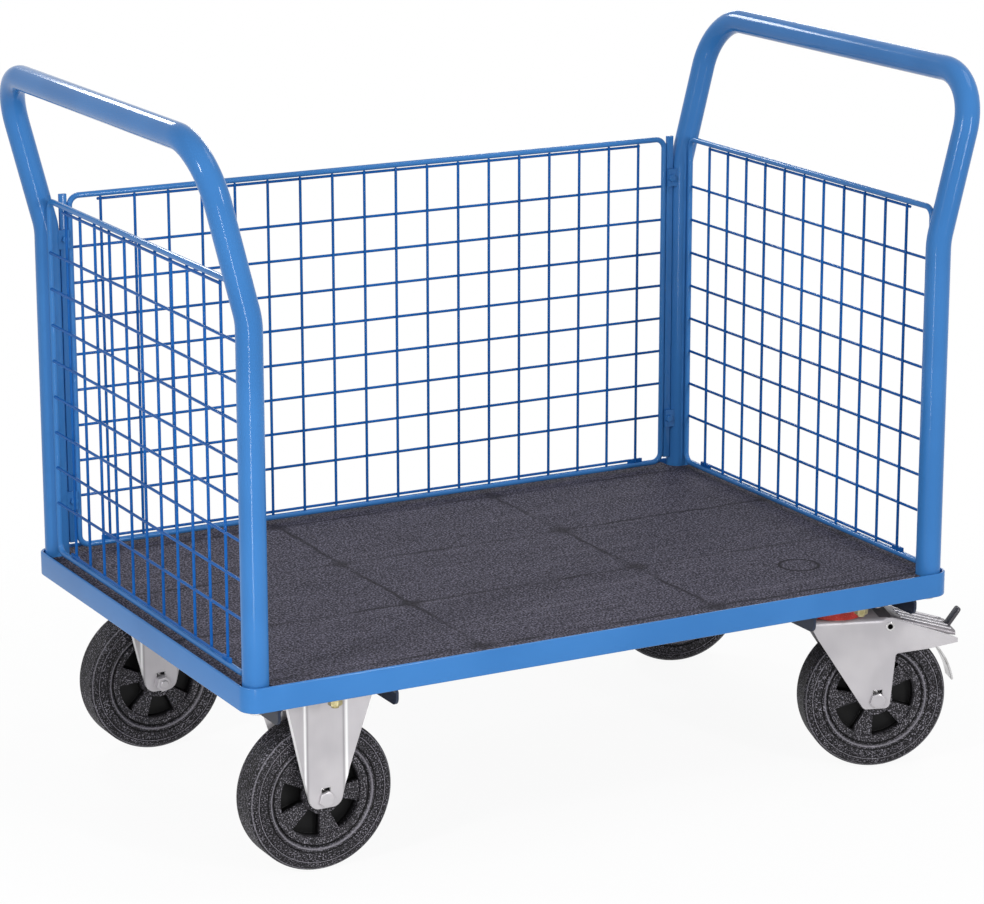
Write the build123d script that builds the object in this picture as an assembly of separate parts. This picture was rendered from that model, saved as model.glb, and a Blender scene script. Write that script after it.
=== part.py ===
from build123d import *
import math
import os

# Platform trolley with welded mesh walls on three sides, in millimetres.
# +X runs along the deck to the swivel casters, +Y to the back wall, +Z up.
# The origin lies on the floor under the middle of the deck.

# Fits and gaps
RUNNING_FIT = 0.05          # radial play of a turning part on its pin
SEAT_GAP = 0.1              # gap at a weld, and at a cut that follows a tube
BOLT_PLAY = 0.5             # radial play of a bolt in a drilled hole
BEARING_PLAY = 0.3          # play over the balls and over the kingpin's head

# Bolts and nuts, as multiples of the thread diameter
HEX_FLATS = 1.6
HEAD_HEIGHT = 0.64
NUT_HEIGHT = 0.9
BOLT_TIP = 3.0              # thread that stands out of a nut

# Wheels
WHEEL_DIAMETER = 200.0
TYRE_WIDTH = 50.0
TYRE_SHOULDER = 9.0         # round at the edge of the tread
TYRE_FLARE = 8.0            # height over which the side widens above the rim
RIM_DIAMETER = 132.0
RIM_WIDTH = 44.0
RIM_RING = 10.0             # radial thickness of the rim's outer ring
HUB_DIAMETER = 46.0
HUB_SIDE_GAP = 3.0          # hub end to fork leg
DISC_THICKNESS = 10.0
SPOKE_COUNT = 5
SPOKE_ANGLE = 30.0
SPOKE_SET_BACK = 5.0        # rim face to spoke face
BEARING_DIAMETER = 28.0
BEARING_SET_BACK = 4.0      # hub end to bearing end
SLEEVE_DIAMETER = 20.0
AXLE_DIAMETER = 12.0
FRONT_FIXED_SPIN = 68.0     # turn of each wheel in this stance, in degrees
BACK_FIXED_SPIN = 25.0
FRONT_SWIVEL_SPIN = 38.0
BACK_SWIVEL_SPIN = 20.0

# Top plates and forks
TYRE_SIDE_GAP = 7.0         # tyre side to fork leg
FORK_WALL = 4.0
PLATE_LENGTH = 140.0
PLATE_WIDTH = 110.0
PLATE_THICKNESS = 6.0
PLATE_CORNER = 8.0
PLATE_HOLES_X = 105.0       # hole spacing along the trolley
PLATE_HOLES_Y = 54.0        # hole spacing across it
PLATE_BOLT = 10.0
LOW_HEAD_DIAMETER = 17.0    # flat round head of a plate bolt
LOW_HEAD_GAP = 0.5          # that head to the board above it

# Fixed fork: tapered legs whose edges fold outwards
FIXED_LEG_TOP = 120.0       # width of a leg at its plate
FIXED_LEG_FOOT = 40.0       # width at its foot
FIXED_LEG_DROP = 12.0       # axle to the foot's lower edge
FIXED_LEG_ROUND = 10.0
FOLD_WIDTH = 58.0           # flat face between the folds
FOLD_ANGLE = 26.0

# Swivel bearing, from the tyre up to the plate
CROWN_HEADROOM = 13.0       # tyre top to the fork's crown
LOWER_RACE_HEIGHT = 3.7
BALL_DIAMETER = 8.0
BALL_SPACING = 1.5
BALL_CIRCLE = 55.0          # diameter through the balls' centres
RACE_LIP = 1.5              # race edge past the balls
UPPER_RACE_HEIGHT = 8.0
SEAL_AIR = 2.0              # lower race to the seal round it
SEAL_WALL = 3.5
SEAL_GAP = 1.0              # seal to the crown below it
DISH_LIP = 1.5              # upper race edge past the seal
KINGPIN_DIAMETER = 16.0
KINGPIN_HEAD_DIAMETER = 26.0
KINGPIN_HEAD_HEIGHT = 6.0

# Swivel fork, seen from the side
SWIVEL_TURN = -19.0         # turn of both swivel casters in this stance
TRAIL = 55.0                # kingpin to axle
CROWN_BACK = 42.0           # kingpin to the crown's back edge
CROWN_FRONT = 56.0          # kingpin to its front edge
NECK_BACK = 29.0            # kingpin to the leg's back edge at the neck
NECK_DROP = 28.0            # crown top to the neck
FOOT_BACK = 19.0            # axle to the foot's back edge
FOOT_FRONT = 17.0           # axle to its front edge
FOOT_DROP = 12.0            # axle to its lower edge
FOOT_ROUND = 8.0
NOTCH_FRONT = 24.0          # axle to the inner corner under the brake wing
NOTCH_RISE = 66.0           # axle up to that corner
NOTCH_ROUND = 5.0
BELLY_FRONT = 73.0          # axle to the lower bend of the wing
BELLY_RISE = 71.0           # axle up to that bend
WING_ROOT = 17.0            # axle to the start of the wing's upper edge
WING_REACH = 111.0          # axle to the wing's tip
WING_TIP_DROP = 33.0        # crown top to the upper edge at the tip
WING_TIP_HEIGHT = 6.0
WING_ROUND = 2.5

# Foot brake in each swivel fork
PIVOT_FRONT = 15.0          # axle to the pedal's pivot
PIVOT_DROP = 12.0           # crown top to the pivot
PIN_DIAMETER = 8.0
BRAKE_TRAVEL = 6.0          # degrees from rest to the tread
BRAKE_AIR = 0.6             # leaf to tread when pressed
PEDAL_SIDE_GAP = 2.0        # fork leg to pedal cheek
PEDAL_WALL = 3.0
PEDAL_SLOPE = 16.0
PEDAL_BACK = 8.0            # pivot to the cheek's back edge
PEDAL_BACK_RISE = 7.0       # pivot up to the back edge's top
PEDAL_CREST = 4.0           # pivot to the start of the sloped top
PEDAL_RISE = 14.5           # pivot up to that start
PEDAL_REACH = 94.0          # pivot to the front edge
PEDAL_NOSE = 7.5            # cheek height at the front edge
PEDAL_HEEL = 6.0            # pivot down to the cheek's lower edge
PEDAL_HEEL_FRONT = 10.0     # pivot to where the lower edge starts to rise
TAB_LENGTH = 26.0           # release tab at the front edge
TAB_ANGLE = 55.0
TAB_WIDTH = 16.0
TAB_WALL = 5.0
LEAF_WIDTH = 30.0
LEAF_WALL = 3.0
LEAF_LOW_ANGLE = 4.0        # ends of the leaf, about the axle when pressed
LEAF_HIGH_ANGLE = 52.0
LEAF_STEM_ANGLE = 2.5       # width of its stem, about the axle

# Deck frame: angle section with the ledge at the bottom, and the board in it
FRAME_LENGTH = 1050.0
FRAME_WIDTH = 700.0
RAIL_HEIGHT = 33.0
RAIL_WALL = 4.0
LEDGE_WIDTH = 36.0
LIP_ROUND = 1.5
BOARD_THICKNESS = 25.0
BOARD_GAP = 0.5             # board edge to rail
POST_CLEARANCE = 1.0        # board notch to post

# Cross channels over the casters
CASTER_END_INSET = 131.0    # frame end to caster centre
CASTER_SIDE_INSET = 88.0    # frame side to caster centre
CHANNEL_WIDTH = 167.0
CHANNEL_WALL = 4.0
CHANNEL_END_INSET = 12.0    # frame side to channel end
CHANNEL_CORNER = 10.0
CHANNEL_BOLT = 10.0
CHANNEL_BOLT_INSET = 23.0   # frame side to channel bolt
SWIVEL_AIR = 2.5            # pedal top to the channel's lower edge

# Push bars
TUBE_DIAMETER = 33.7
TUBE_WALL = 2.6
POST_GAP = 2.15             # rail's inner face to post
POST_HEIGHT = 484.5         # ledge to the knee
KNEE_RADIUS = 100.0
HANDLE_LEAN = 14.3
HANDLE_RISE = 216.5         # knee to crossbar, upright
HANDLE_CORNER = 75.0
PLUG_HEIGHT = 20.0
POST_BOLT = 10.0

# Mesh walls
WALL_HEIGHT = 500.0
BORDER_WIRE = 8.0
BORDER_CORNER = 14.0
MESH_WIRE = 4.0
MESH_PITCH = 50.0
MESH_WELD = 1.0             # how far crossing wires sink into each other
MESH_SIDE_MARGIN = 40.0     # least distance from the border to the first upright
MESH_ROW_MARGIN = 60.0      # least distance from the border to the first full row
EDGE_WIRE_OFFSET = 7.5      # border to the extra row beside it
END_WALL_OUTSET = 3.5       # post axis out to the end wall
BACK_WALL_INSET = 4.0       # post axis in to the back wall
STRIP_WIDTH = 11.0          # upright flat strip between back wall and post
STRIP_THICKNESS = 5.0
STRIP_LIFT = 10.0           # wall foot to the strip's lower end
BRACKET_HEIGHT = 26.0
BRACKET_THICKNESS = 5.0
BRACKET_TOP_DROP = 61.5     # wall top to the middle of the upper brackets
BRACKET_FOOT_RISE = 71.0    # wall foot to the middle of the lower brackets
BRACKET_BOLT = 6.0

# Heights that follow from the sizes above
AXLE_Z = WHEEL_DIAMETER / 2
CROWN_LOW = WHEEL_DIAMETER + CROWN_HEADROOM
CROWN_TOP = CROWN_LOW + FORK_WALL
BALL_Z = CROWN_TOP + LOWER_RACE_HEIGHT + BALL_DIAMETER / 2
DISH_LOW = BALL_Z + BALL_DIAMETER / 2 + BEARING_PLAY
PLATE_LOW = DISH_LOW + UPPER_RACE_HEIGHT
PLATE_TOP = PLATE_LOW + PLATE_THICKNESS
RAIL_LOW = PLATE_TOP + CHANNEL_WALL
LEDGE_TOP = RAIL_LOW + RAIL_WALL
BOARD_TOP = LEDGE_TOP + BOARD_THICKNESS
RAIL_TOP = RAIL_LOW + RAIL_HEIGHT
WALL_TOP = RAIL_TOP + WALL_HEIGHT
PIVOT_Z = CROWN_TOP - PIVOT_DROP
FLANGE_LOW = PIVOT_Z + PEDAL_RISE + SWIVEL_AIR
KNEE_Z = LEDGE_TOP + POST_HEIGHT
CROSSBAR_Z = KNEE_Z + HANDLE_RISE

# Places that follow from the sizes above
TUBE_RADIUS = TUBE_DIAMETER / 2
POST_INSET = RAIL_WALL + POST_GAP + TUBE_RADIUS
POST_X = FRAME_LENGTH / 2 - POST_INSET
POST_Y = FRAME_WIDTH / 2 - POST_INSET
CASTER_X = FRAME_LENGTH / 2 - CASTER_END_INSET
CASTER_Y = FRAME_WIDTH / 2 - CASTER_SIDE_INSET
CHANNEL_BOLT_Y = FRAME_WIDTH / 2 - CHANNEL_BOLT_INSET
BORDER_RADIUS = BORDER_WIRE / 2
END_WALL_X = POST_X + END_WALL_OUTSET
END_WALL_HALF = POST_Y - TUBE_RADIUS - BORDER_RADIUS - SEAT_GAP
BACK_WALL_Y = POST_Y - BACK_WALL_INSET
STRIP_OUTER = POST_X - TUBE_RADIUS - SEAT_GAP
STRIP_INNER = STRIP_OUTER - STRIP_WIDTH
BACK_WALL_HALF = STRIP_INNER - BORDER_RADIUS - SEAT_GAP
FORK_GAP = TYRE_WIDTH + 2 * TYRE_SIDE_GAP
FORK_HALF = FORK_GAP / 2 + FORK_WALL
HUB_LENGTH = FORK_GAP - 2 * HUB_SIDE_GAP
PIVOT_U = TRAIL + PIVOT_FRONT
SLOPE = math.tan(math.radians(PEDAL_SLOPE))


def rod(radius, start, end):
    """Return a round bar from start to end."""
    run = Vector(end) - Vector(start)
    return Solid.make_cylinder(radius, run.length, Plane(start, z_dir=run))


def hexagon(flats, start, end):
    """Return a hexagonal bar from start to end."""
    run = Vector(end) - Vector(start)
    outline = RegularPolygon(flats / 2, 6, major_radius=False)
    return extrude(Plane(start, z_dir=run) * outline, run.length)


def block(low, high):
    """Return a box between two opposite corners."""
    size = Vector(high) - Vector(low)
    return Solid.make_box(size.X, size.Y, size.Z, Plane(low))


def slab(sketch, low, high):
    """Return a level sketch drawn up between two heights."""
    return extrude(Pos(0, 0, low) * sketch, high - low)


def side_face(points, radii):
    """Return a face in the X-Z plane through points, each corner with its own round."""
    return Plane.XZ * make_face(FilletPolyline(*points, radius=radii, close=True).edges())


def across(face, half_width):
    """Return a side face widened to both sides of the X-Z plane."""
    return extrude(face, half_width, both=True)


def ring(outer, inner, start, end):
    """Return a round bar with a round bore."""
    return rod(outer, start, end) - rod(inner, start, end)


def hex_bolt(diameter, seat, tip):
    """Return a bolt whose head lies behind its seat and whose shank ends at its tip."""
    run = (Vector(tip) - Vector(seat)).normalized()
    back = Vector(seat) - run * (diameter * HEAD_HEIGHT)
    return hexagon(diameter * HEX_FLATS, back, seat) + rod(diameter / 2, seat, tip)


def hex_nut(diameter, seat, direction):
    """Return a nut that lies on its seat and points in a direction."""
    end = Vector(seat) + Vector(direction) * (diameter * NUT_HEIGHT)
    return hexagon(diameter * HEX_FLATS, seat, end) - rod(diameter / 2, seat, end)


def corners(half_x, half_y):
    """Return the four corner points of a rectangle about the origin."""
    return [(sx * half_x, sy * half_y) for sx in (-1, 1) for sy in (-1, 1)]


def deck_frame():
    """Angle ring: an upright rail with a rounded lip, and a ledge under the board."""
    frame = slab(RectangleRounded(FRAME_LENGTH, FRAME_WIDTH, POST_INSET), RAIL_LOW, RAIL_TOP)
    well_length = FRAME_LENGTH - 2 * RAIL_WALL
    well_width = FRAME_WIDTH - 2 * RAIL_WALL
    frame -= slab(RectangleRounded(well_length, well_width, POST_INSET - RAIL_WALL), LEDGE_TOP, RAIL_TOP)
    opening = Rectangle(FRAME_LENGTH - 2 * LEDGE_WIDTH, FRAME_WIDTH - 2 * LEDGE_WIDTH)
    frame -= slab(opening, RAIL_LOW, LEDGE_TOP)
    lip = frame.faces().sort_by(Axis.Z)[-1]
    frame = fillet(lip.edges(), min(LIP_ROUND, 0.4 * RAIL_WALL))
    for x, y in corners(POST_X, POST_Y):
        frame -= rod(POST_BOLT / 2 + BOLT_PLAY, (x, y, RAIL_LOW), (x, y, LEDGE_TOP))
    for x, y in corners(CASTER_X, CHANNEL_BOLT_Y):
        frame -= countersink(x, y, BOLT_PLAY)
    return frame


def countersink(x, y, play):
    """Cone through the ledge for a channel bolt's flush head, widened by a radial play."""
    radius = CHANNEL_BOLT / 2 + play
    return Solid.make_cone(radius, radius + RAIL_WALL, RAIL_WALL, Plane((x, y, RAIL_LOW)))


def deck_board():
    """Board in the frame, with its corners cut away round the posts."""
    half_x = FRAME_LENGTH / 2 - RAIL_WALL - BOARD_GAP
    half_y = FRAME_WIDTH / 2 - RAIL_WALL - BOARD_GAP
    board = block((-half_x, -half_y, LEDGE_TOP), (half_x, half_y, BOARD_TOP))
    reach = TUBE_RADIUS + POST_CLEARANCE
    notch = Circle(reach) + Pos(reach, 0) * Rectangle(2 * reach, 2 * reach)
    notch += Pos(0, reach) * Rectangle(2 * reach, 2 * reach)
    notch += Pos(reach, reach) * Rectangle(2 * reach, 2 * reach)
    for x, y in corners(POST_X, POST_Y):
        turned = Pos(x, y) * mirrored(notch, x, y)
        board -= slab(turned, LEDGE_TOP, BOARD_TOP)
    return board


def mirrored(sketch, x, y):
    """Sketch drawn for the +X +Y corner, mirrored to the corner that x and y lie in."""
    if x < 0:
        sketch = mirror(sketch, Plane.YZ)
    if y < 0:
        sketch = mirror(sketch, Plane.XZ)
    return sketch


def cross_channel(x):
    """Inverted channel under the ledge, drilled for two casters and two channel bolts."""
    half_x = CHANNEL_WIDTH / 2
    half_y = FRAME_WIDTH / 2 - CHANNEL_END_INSET
    channel = block((-half_x, -half_y, FLANGE_LOW), (half_x, half_y, RAIL_LOW))
    lower_ends = channel.edges().filter_by(Axis.X).group_by(Axis.Z)[0]
    channel = fillet(lower_ends, CHANNEL_CORNER)
    inner = half_x - CHANNEL_WALL
    channel -= block((-inner, -half_y, FLANGE_LOW), (inner, half_y, PLATE_TOP))
    for side in (-1, 1):
        y = side * CHANNEL_BOLT_Y
        channel -= rod(CHANNEL_BOLT / 2 + BOLT_PLAY, (0, y, PLATE_TOP), (0, y, RAIL_LOW))
        for hole_x, hole_y in corners(PLATE_HOLES_X / 2, PLATE_HOLES_Y / 2):
            y = side * CASTER_Y + hole_y
            channel -= rod(PLATE_BOLT / 2 + BOLT_PLAY, (hole_x, y, PLATE_TOP), (hole_x, y, RAIL_LOW))
    return Pos(x, 0, 0) * channel


def channel_bolts():
    """Flush bolts through the ledge and the channels' webs."""
    bolts = []
    for x, y in corners(CASTER_X, CHANNEL_BOLT_Y):
        tip = PLATE_TOP - CHANNEL_BOLT * NUT_HEIGHT - BOLT_TIP
        bolts.append(countersink(x, y, 0) + rod(CHANNEL_BOLT / 2, (x, y, tip), (x, y, RAIL_LOW)))
    return bolts


def channel_nuts():
    """Nuts of the channel bolts, under the webs."""
    places = corners(CASTER_X, CHANNEL_BOLT_Y)
    return [hex_nut(CHANNEL_BOLT, (x, y, PLATE_TOP), (0, 0, -1)) for x, y in places]


def handle_path(end):
    """Centre line of one push bar, from its front foot over the crossbar to its back foot."""
    lean = HANDLE_RISE * math.tan(math.radians(HANDLE_LEAN))
    front = [(POST_X, -POST_Y, LEDGE_TOP), (POST_X, -POST_Y, KNEE_Z), (POST_X + lean, -POST_Y, CROSSBAR_Z)]
    back = [(x, -y, z) for x, y, z in reversed(front)]
    points = [(end * x, y, z) for x, y, z in front + back]
    return FilletPolyline(*points, radius=[KNEE_RADIUS, HANDLE_CORNER, HANDLE_CORNER, KNEE_RADIUS])


def along(path, radius):
    """Round bar swept along a path."""
    path_wire = Wire(path.edges())
    return sweep(Plane(path_wire @ 0, z_dir=path_wire % 0) * Circle(radius), path=path_wire)


def push_bar(end):
    """Bent tube: two posts, a lean outwards and a crossbar."""
    path = handle_path(end)
    return along(path, TUBE_RADIUS) - along(path, TUBE_RADIUS - TUBE_WALL)


def post_plugs():
    """Threaded plugs in the feet of the posts."""
    radius = TUBE_RADIUS - TUBE_WALL - RUNNING_FIT
    return [
        ring(radius, POST_BOLT / 2, (x, y, LEDGE_TOP), (x, y, LEDGE_TOP + PLUG_HEIGHT))
        for x, y in corners(POST_X, POST_Y)
    ]


def post_bolts():
    """Bolts from under the ledge into the plugs."""
    top = LEDGE_TOP + PLUG_HEIGHT
    return [hex_bolt(POST_BOLT, (x, y, RAIL_LOW), (x, y, top)) for x, y in corners(POST_X, POST_Y)]


def border_wire(half_width):
    """Closed border wire of a wall, standing in the X-Z plane over its own foot."""
    low = RAIL_TOP + BORDER_RADIUS
    high = WALL_TOP - BORDER_RADIUS
    outline = [(-half_width, low), (half_width, low), (half_width, high), (-half_width, high)]
    path = side_face(outline, [BORDER_CORNER] * len(outline)).face().outer_wire()
    return sweep(Plane(path @ 0, z_dir=path % 0) * Circle(BORDER_RADIUS), path=path)


def spread(half_span, margin):
    """Evenly pitched places about the middle that keep a margin to both ends."""
    count = int((2 * half_span - 2 * margin) / MESH_PITCH) + 1
    return [(index - (count - 1) / 2) * MESH_PITCH for index in range(count)]


def wire_mesh(half_width):
    """Welded mesh of a wall: uprights, and rows that cross them a little behind."""
    radius = MESH_WIRE / 2
    offset = radius - MESH_WELD / 2
    low = RAIL_TOP + BORDER_WIRE
    high = WALL_TOP - BORDER_WIRE
    middle = (RAIL_TOP + WALL_TOP) / 2
    half_height = WALL_HEIGHT / 2 - BORDER_RADIUS
    uprights = spread(half_width, MESH_SIDE_MARGIN)
    wires = [rod(radius, (x, -offset, low), (x, -offset, high)) for x in uprights]
    reach = half_width - BORDER_RADIUS
    for z in spread(half_height, MESH_ROW_MARGIN):
        wires.append(rod(radius, (-reach, offset, middle + z), (reach, offset, middle + z)))
    edge_reach = uprights[-1] + MESH_WIRE
    for side in (-1, 1):
        z = middle + side * (half_height - EDGE_WIRE_OFFSET)
        wires.append(rod(radius, (-edge_reach, offset, z), (edge_reach, offset, z)))
    return wires[0].fuse(*wires[1:])


def on_end(end, wall):
    """Move a wall from the X-Z plane to one end of the deck, uprights inside."""
    return Pos(end * END_WALL_X, 0, 0) * Rot(0, 0, -90 * end) * wall


def on_back(wall):
    """Move a wall from the X-Z plane to the back of the deck."""
    return Pos(0, BACK_WALL_Y, 0) * wall


def bracket_places():
    """Middles of the four brackets, as end of the trolley and height."""
    return [(end, z) for end in (-1, 1) for z in (RAIL_TOP + BRACKET_FOOT_RISE, WALL_TOP - BRACKET_TOP_DROP)]


def strip_bolt_x(end):
    """Middle of a wall strip along X."""
    return end * (STRIP_INNER + STRIP_OUTER) / 2


def bracket_bolt(end, z):
    """Screw through a bracket into its strip, head to the inside."""
    x = strip_bolt_x(end)
    seat = BACK_WALL_Y - STRIP_THICKNESS / 2 - BRACKET_THICKNESS
    return hex_bolt(BRACKET_BOLT, (x, seat, z), (x, BACK_WALL_Y + STRIP_THICKNESS / 2, z))


def wall_strips():
    """Upright flat strips between the back wall and the posts, drilled for the bracket screws."""
    strips = []
    half = STRIP_THICKNESS / 2
    for end in (-1, 1):
        sides = sorted((end * STRIP_INNER, end * STRIP_OUTER))
        low = (sides[0], BACK_WALL_Y - half, RAIL_TOP + STRIP_LIFT)
        strip = block(low, (sides[1], BACK_WALL_Y + half, WALL_TOP))
        for place_end, z in bracket_places():
            if place_end == end:
                strip -= bracket_bolt(end, z)
        strips.append(strip)
    return strips


def wall_brackets():
    """Short plates from the strips to the posts, cut to the posts' round."""
    brackets = []
    back = BACK_WALL_Y - STRIP_THICKNESS / 2
    for end, z in bracket_places():
        sides = sorted((end * STRIP_INNER, end * POST_X))
        low = (sides[0], back - BRACKET_THICKNESS, z - BRACKET_HEIGHT / 2)
        plate = block(low, (sides[1], back, z + BRACKET_HEIGHT / 2))
        plate -= along(handle_path(end), TUBE_RADIUS + SEAT_GAP)
        brackets.append(plate - bracket_bolt(end, z))
    return brackets


def bracket_bolts():
    """Screws of all brackets."""
    return [bracket_bolt(end, z) for end, z in bracket_places()]


def top_plate():
    """Drilled top plate of a caster, about the caster's own centre."""
    plate = slab(RectangleRounded(PLATE_LENGTH, PLATE_WIDTH, PLATE_CORNER), PLATE_LOW, PLATE_TOP)
    for x, y in corners(PLATE_HOLES_X / 2, PLATE_HOLES_Y / 2):
        plate -= rod(PLATE_BOLT / 2 + BOLT_PLAY, (x, y, PLATE_LOW), (x, y, PLATE_TOP))
    return plate


def folded_column(half_outer):
    """Upright column whose two long sides fold outwards past the flat face."""
    flat = FOLD_WIDTH / 2
    end = FIXED_LEG_TOP / 2 + FORK_WALL
    folded = half_outer + (end - flat) * math.tan(math.radians(FOLD_ANGLE))
    side = [(-end, folded), (-flat, half_outer), (flat, half_outer), (end, folded)]
    outline = side + [(x, -y) for x, y in reversed(side)]
    return slab(make_face(Polyline(*outline, close=True)), AXLE_Z - FIXED_LEG_DROP, PLATE_LOW)


def fixed_fork():
    """Top plate with two tapered legs, folded at their edges."""
    top = FIXED_LEG_TOP / 2
    foot = FIXED_LEG_FOOT / 2
    low = AXLE_Z - FIXED_LEG_DROP
    outline = [(-foot, low), (foot, low), (top, PLATE_LOW), (-top, PLATE_LOW)]
    taper = side_face(outline, [FIXED_LEG_ROUND, FIXED_LEG_ROUND, 0, 0])
    legs = folded_column(FORK_HALF) - folded_column(FORK_GAP / 2)
    fork = top_plate() + (legs & across(taper, PLATE_WIDTH / 2))
    return fork - axle_bore(0)


def axle_bore(x):
    """Bore for the axle bolt through both legs of a fork."""
    return rod(AXLE_DIAMETER / 2, (x, -FORK_HALF, AXLE_Z), (x, FORK_HALF, AXLE_Z))


def axle_bolt(x, head_side):
    """Axle bolt through a fork, with its head on the given side."""
    end = FORK_HALF + AXLE_DIAMETER * NUT_HEIGHT + BOLT_TIP
    return hex_bolt(AXLE_DIAMETER, (x, head_side * FORK_HALF, AXLE_Z), (x, -head_side * end, AXLE_Z))


def axle_nut(x, head_side):
    """Nut of the axle bolt, on the side away from its head."""
    return hex_nut(AXLE_DIAMETER, (x, -head_side * FORK_HALF, AXLE_Z), (0, -head_side, 0))


def axle_sleeve(x):
    """Sleeve that the bolt clamps between the legs and the bearing turns on."""
    half = FORK_GAP / 2
    return ring(SLEEVE_DIAMETER / 2, AXLE_DIAMETER / 2, (x, -half, AXLE_Z), (x, half, AXLE_Z))


def bearing():
    """Wheel bearing bush about the Y axis."""
    half = HUB_LENGTH / 2 - BEARING_SET_BACK
    bore = SLEEVE_DIAMETER / 2 + RUNNING_FIT
    return ring(BEARING_DIAMETER / 2, bore, (0, -half, 0), (0, half, 0))


def rim():
    """Wheel rim about the Y axis: hub, disc, ring and wedge spokes with deep pockets between them."""
    hub = HUB_DIAMETER / 2
    bore = BEARING_DIAMETER / 2
    outer = RIM_DIAMETER / 2
    inner = outer - RIM_RING
    disc = DISC_THICKNESS / 2
    wheel = rod(outer, (0, -RIM_WIDTH / 2, 0), (0, RIM_WIDTH / 2, 0))
    wheel -= rod(inner, (0, -RIM_WIDTH / 2, 0), (0, RIM_WIDTH / 2, 0))
    wheel += rod(inner, (0, -disc, 0), (0, disc, 0))
    wheel += rod(hub, (0, -HUB_LENGTH / 2, 0), (0, HUB_LENGTH / 2, 0))
    root = (hub + bore) / 2
    tip = (inner + outer) / 2
    half = math.radians(SPOKE_ANGLE / 2)
    round_trip = ((root, -half), (tip, -half), (tip, half), (root, half))
    wedge = [(radius * math.cos(turn), radius * math.sin(turn)) for radius, turn in round_trip]
    spoke = across(side_face(wedge, [0] * len(wedge)), RIM_WIDTH / 2 - SPOKE_SET_BACK)
    for index in range(SPOKE_COUNT):
        wheel += Rot(0, index * 360 / SPOKE_COUNT, 0) * spoke
    return wheel - rod(bore, (0, -HUB_LENGTH / 2, 0), (0, HUB_LENGTH / 2, 0))


def tyre():
    """Solid tyre about the Y axis, with rounded shoulders."""
    seat = RIM_DIAMETER / 2
    half_seat = RIM_WIDTH / 2
    half = TYRE_WIDTH / 2
    outer = WHEEL_DIAMETER / 2
    side = [(seat, half_seat), (seat + TYRE_FLARE, half), (outer, half)]
    outline = [(r, -y) for r, y in side] + list(reversed(side))
    radii = [0, 0, TYRE_SHOULDER, TYRE_SHOULDER, 0, 0]
    return revolve(make_face(FilletPolyline(*outline, radius=radii, close=True).edges()), Axis.Y)


def swivel_plate():
    """Top plate with the dished upper race of the swivel bearing."""
    plate = top_plate() + rod(dish_radius(), (0, 0, DISH_LOW), (0, 0, PLATE_LOW))
    return plate - rod(KINGPIN_DIAMETER / 2, (0, 0, DISH_LOW), (0, 0, PLATE_TOP))


def race_radius():
    """Outer radius of the lower race."""
    return BALL_CIRCLE / 2 + BALL_DIAMETER / 2 + RACE_LIP


def seal_radius():
    """Outer radius of the seal."""
    return race_radius() + SEAL_AIR + SEAL_WALL


def dish_radius():
    """Outer radius of the upper race."""
    return seal_radius() + DISH_LIP


def swivel_seal():
    """Seal ring that hangs from the upper race round the balls."""
    outer = seal_radius()
    return ring(outer, outer - SEAL_WALL, (0, 0, CROWN_TOP + SEAL_GAP), (0, 0, DISH_LOW))


def kingpin():
    """Pin riveted in the plate, with a head under the fork's crown."""
    head_top = CROWN_LOW - BEARING_PLAY
    head_low = head_top - KINGPIN_HEAD_HEIGHT
    pin = rod(KINGPIN_DIAMETER / 2, (0, 0, head_low), (0, 0, PLATE_TOP))
    return pin + rod(KINGPIN_HEAD_DIAMETER / 2, (0, 0, head_low), (0, 0, head_top))


def swivel_balls():
    """Ring of balls on the lower race."""
    radius = BALL_CIRCLE / 2
    count = int(math.pi * BALL_CIRCLE / (BALL_DIAMETER + BALL_SPACING))
    balls = []
    for index in range(count):
        turn = 2 * math.pi * index / count
        centre = Pos(radius * math.cos(turn), radius * math.sin(turn), BALL_Z)
        balls.append(centre * Sphere(BALL_DIAMETER / 2))
    return balls


def swivel_fork():
    """Crown and two legs with brake wings, kingpin at the origin and axle towards +X."""
    outline = [
        (-CROWN_BACK, CROWN_TOP),
        (-NECK_BACK, CROWN_TOP - NECK_DROP),
        (TRAIL - FOOT_BACK, AXLE_Z - FOOT_DROP),
        (TRAIL + FOOT_FRONT, AXLE_Z - FOOT_DROP),
        (TRAIL + NOTCH_FRONT, AXLE_Z + NOTCH_RISE),
        (TRAIL + BELLY_FRONT, AXLE_Z + BELLY_RISE),
        (TRAIL + WING_REACH, CROWN_TOP - WING_TIP_DROP - WING_TIP_HEIGHT),
        (TRAIL + WING_REACH, CROWN_TOP - WING_TIP_DROP),
        (TRAIL + WING_ROOT, CROWN_TOP),
    ]
    radii = [0, 0, FOOT_ROUND, FOOT_ROUND, NOTCH_ROUND, 0, WING_ROUND, WING_ROUND, 0]
    face = side_face(outline, radii)
    fork = across(face, FORK_HALF) - across(face, FORK_GAP / 2)
    fork += block((-CROWN_BACK, -FORK_HALF, CROWN_LOW), (CROWN_FRONT, FORK_HALF, CROWN_TOP))
    bore = KINGPIN_DIAMETER / 2 + RUNNING_FIT
    race_top = CROWN_TOP + LOWER_RACE_HEIGHT
    race_bore = (BALL_CIRCLE - BALL_DIAMETER) / 2 - RACE_LIP
    fork += ring(race_radius(), race_bore, (0, 0, CROWN_TOP), (0, 0, race_top))
    fork -= rod(bore, (0, 0, CROWN_LOW), (0, 0, CROWN_TOP))
    return fork - axle_bore(TRAIL) - brake_pin()


def brake_pin():
    """Pin that the pedal tips on, held in both wings."""
    return rod(PIN_DIAMETER / 2, (PIVOT_U, -FORK_HALF, PIVOT_Z), (PIVOT_U, FORK_HALF, PIVOT_Z))


def pedal_top(reach):
    """Height of the pedal's sloped top at a distance in front of the pivot."""
    return PIVOT_Z + PEDAL_RISE - (reach - PEDAL_CREST) * SLOPE


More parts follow.
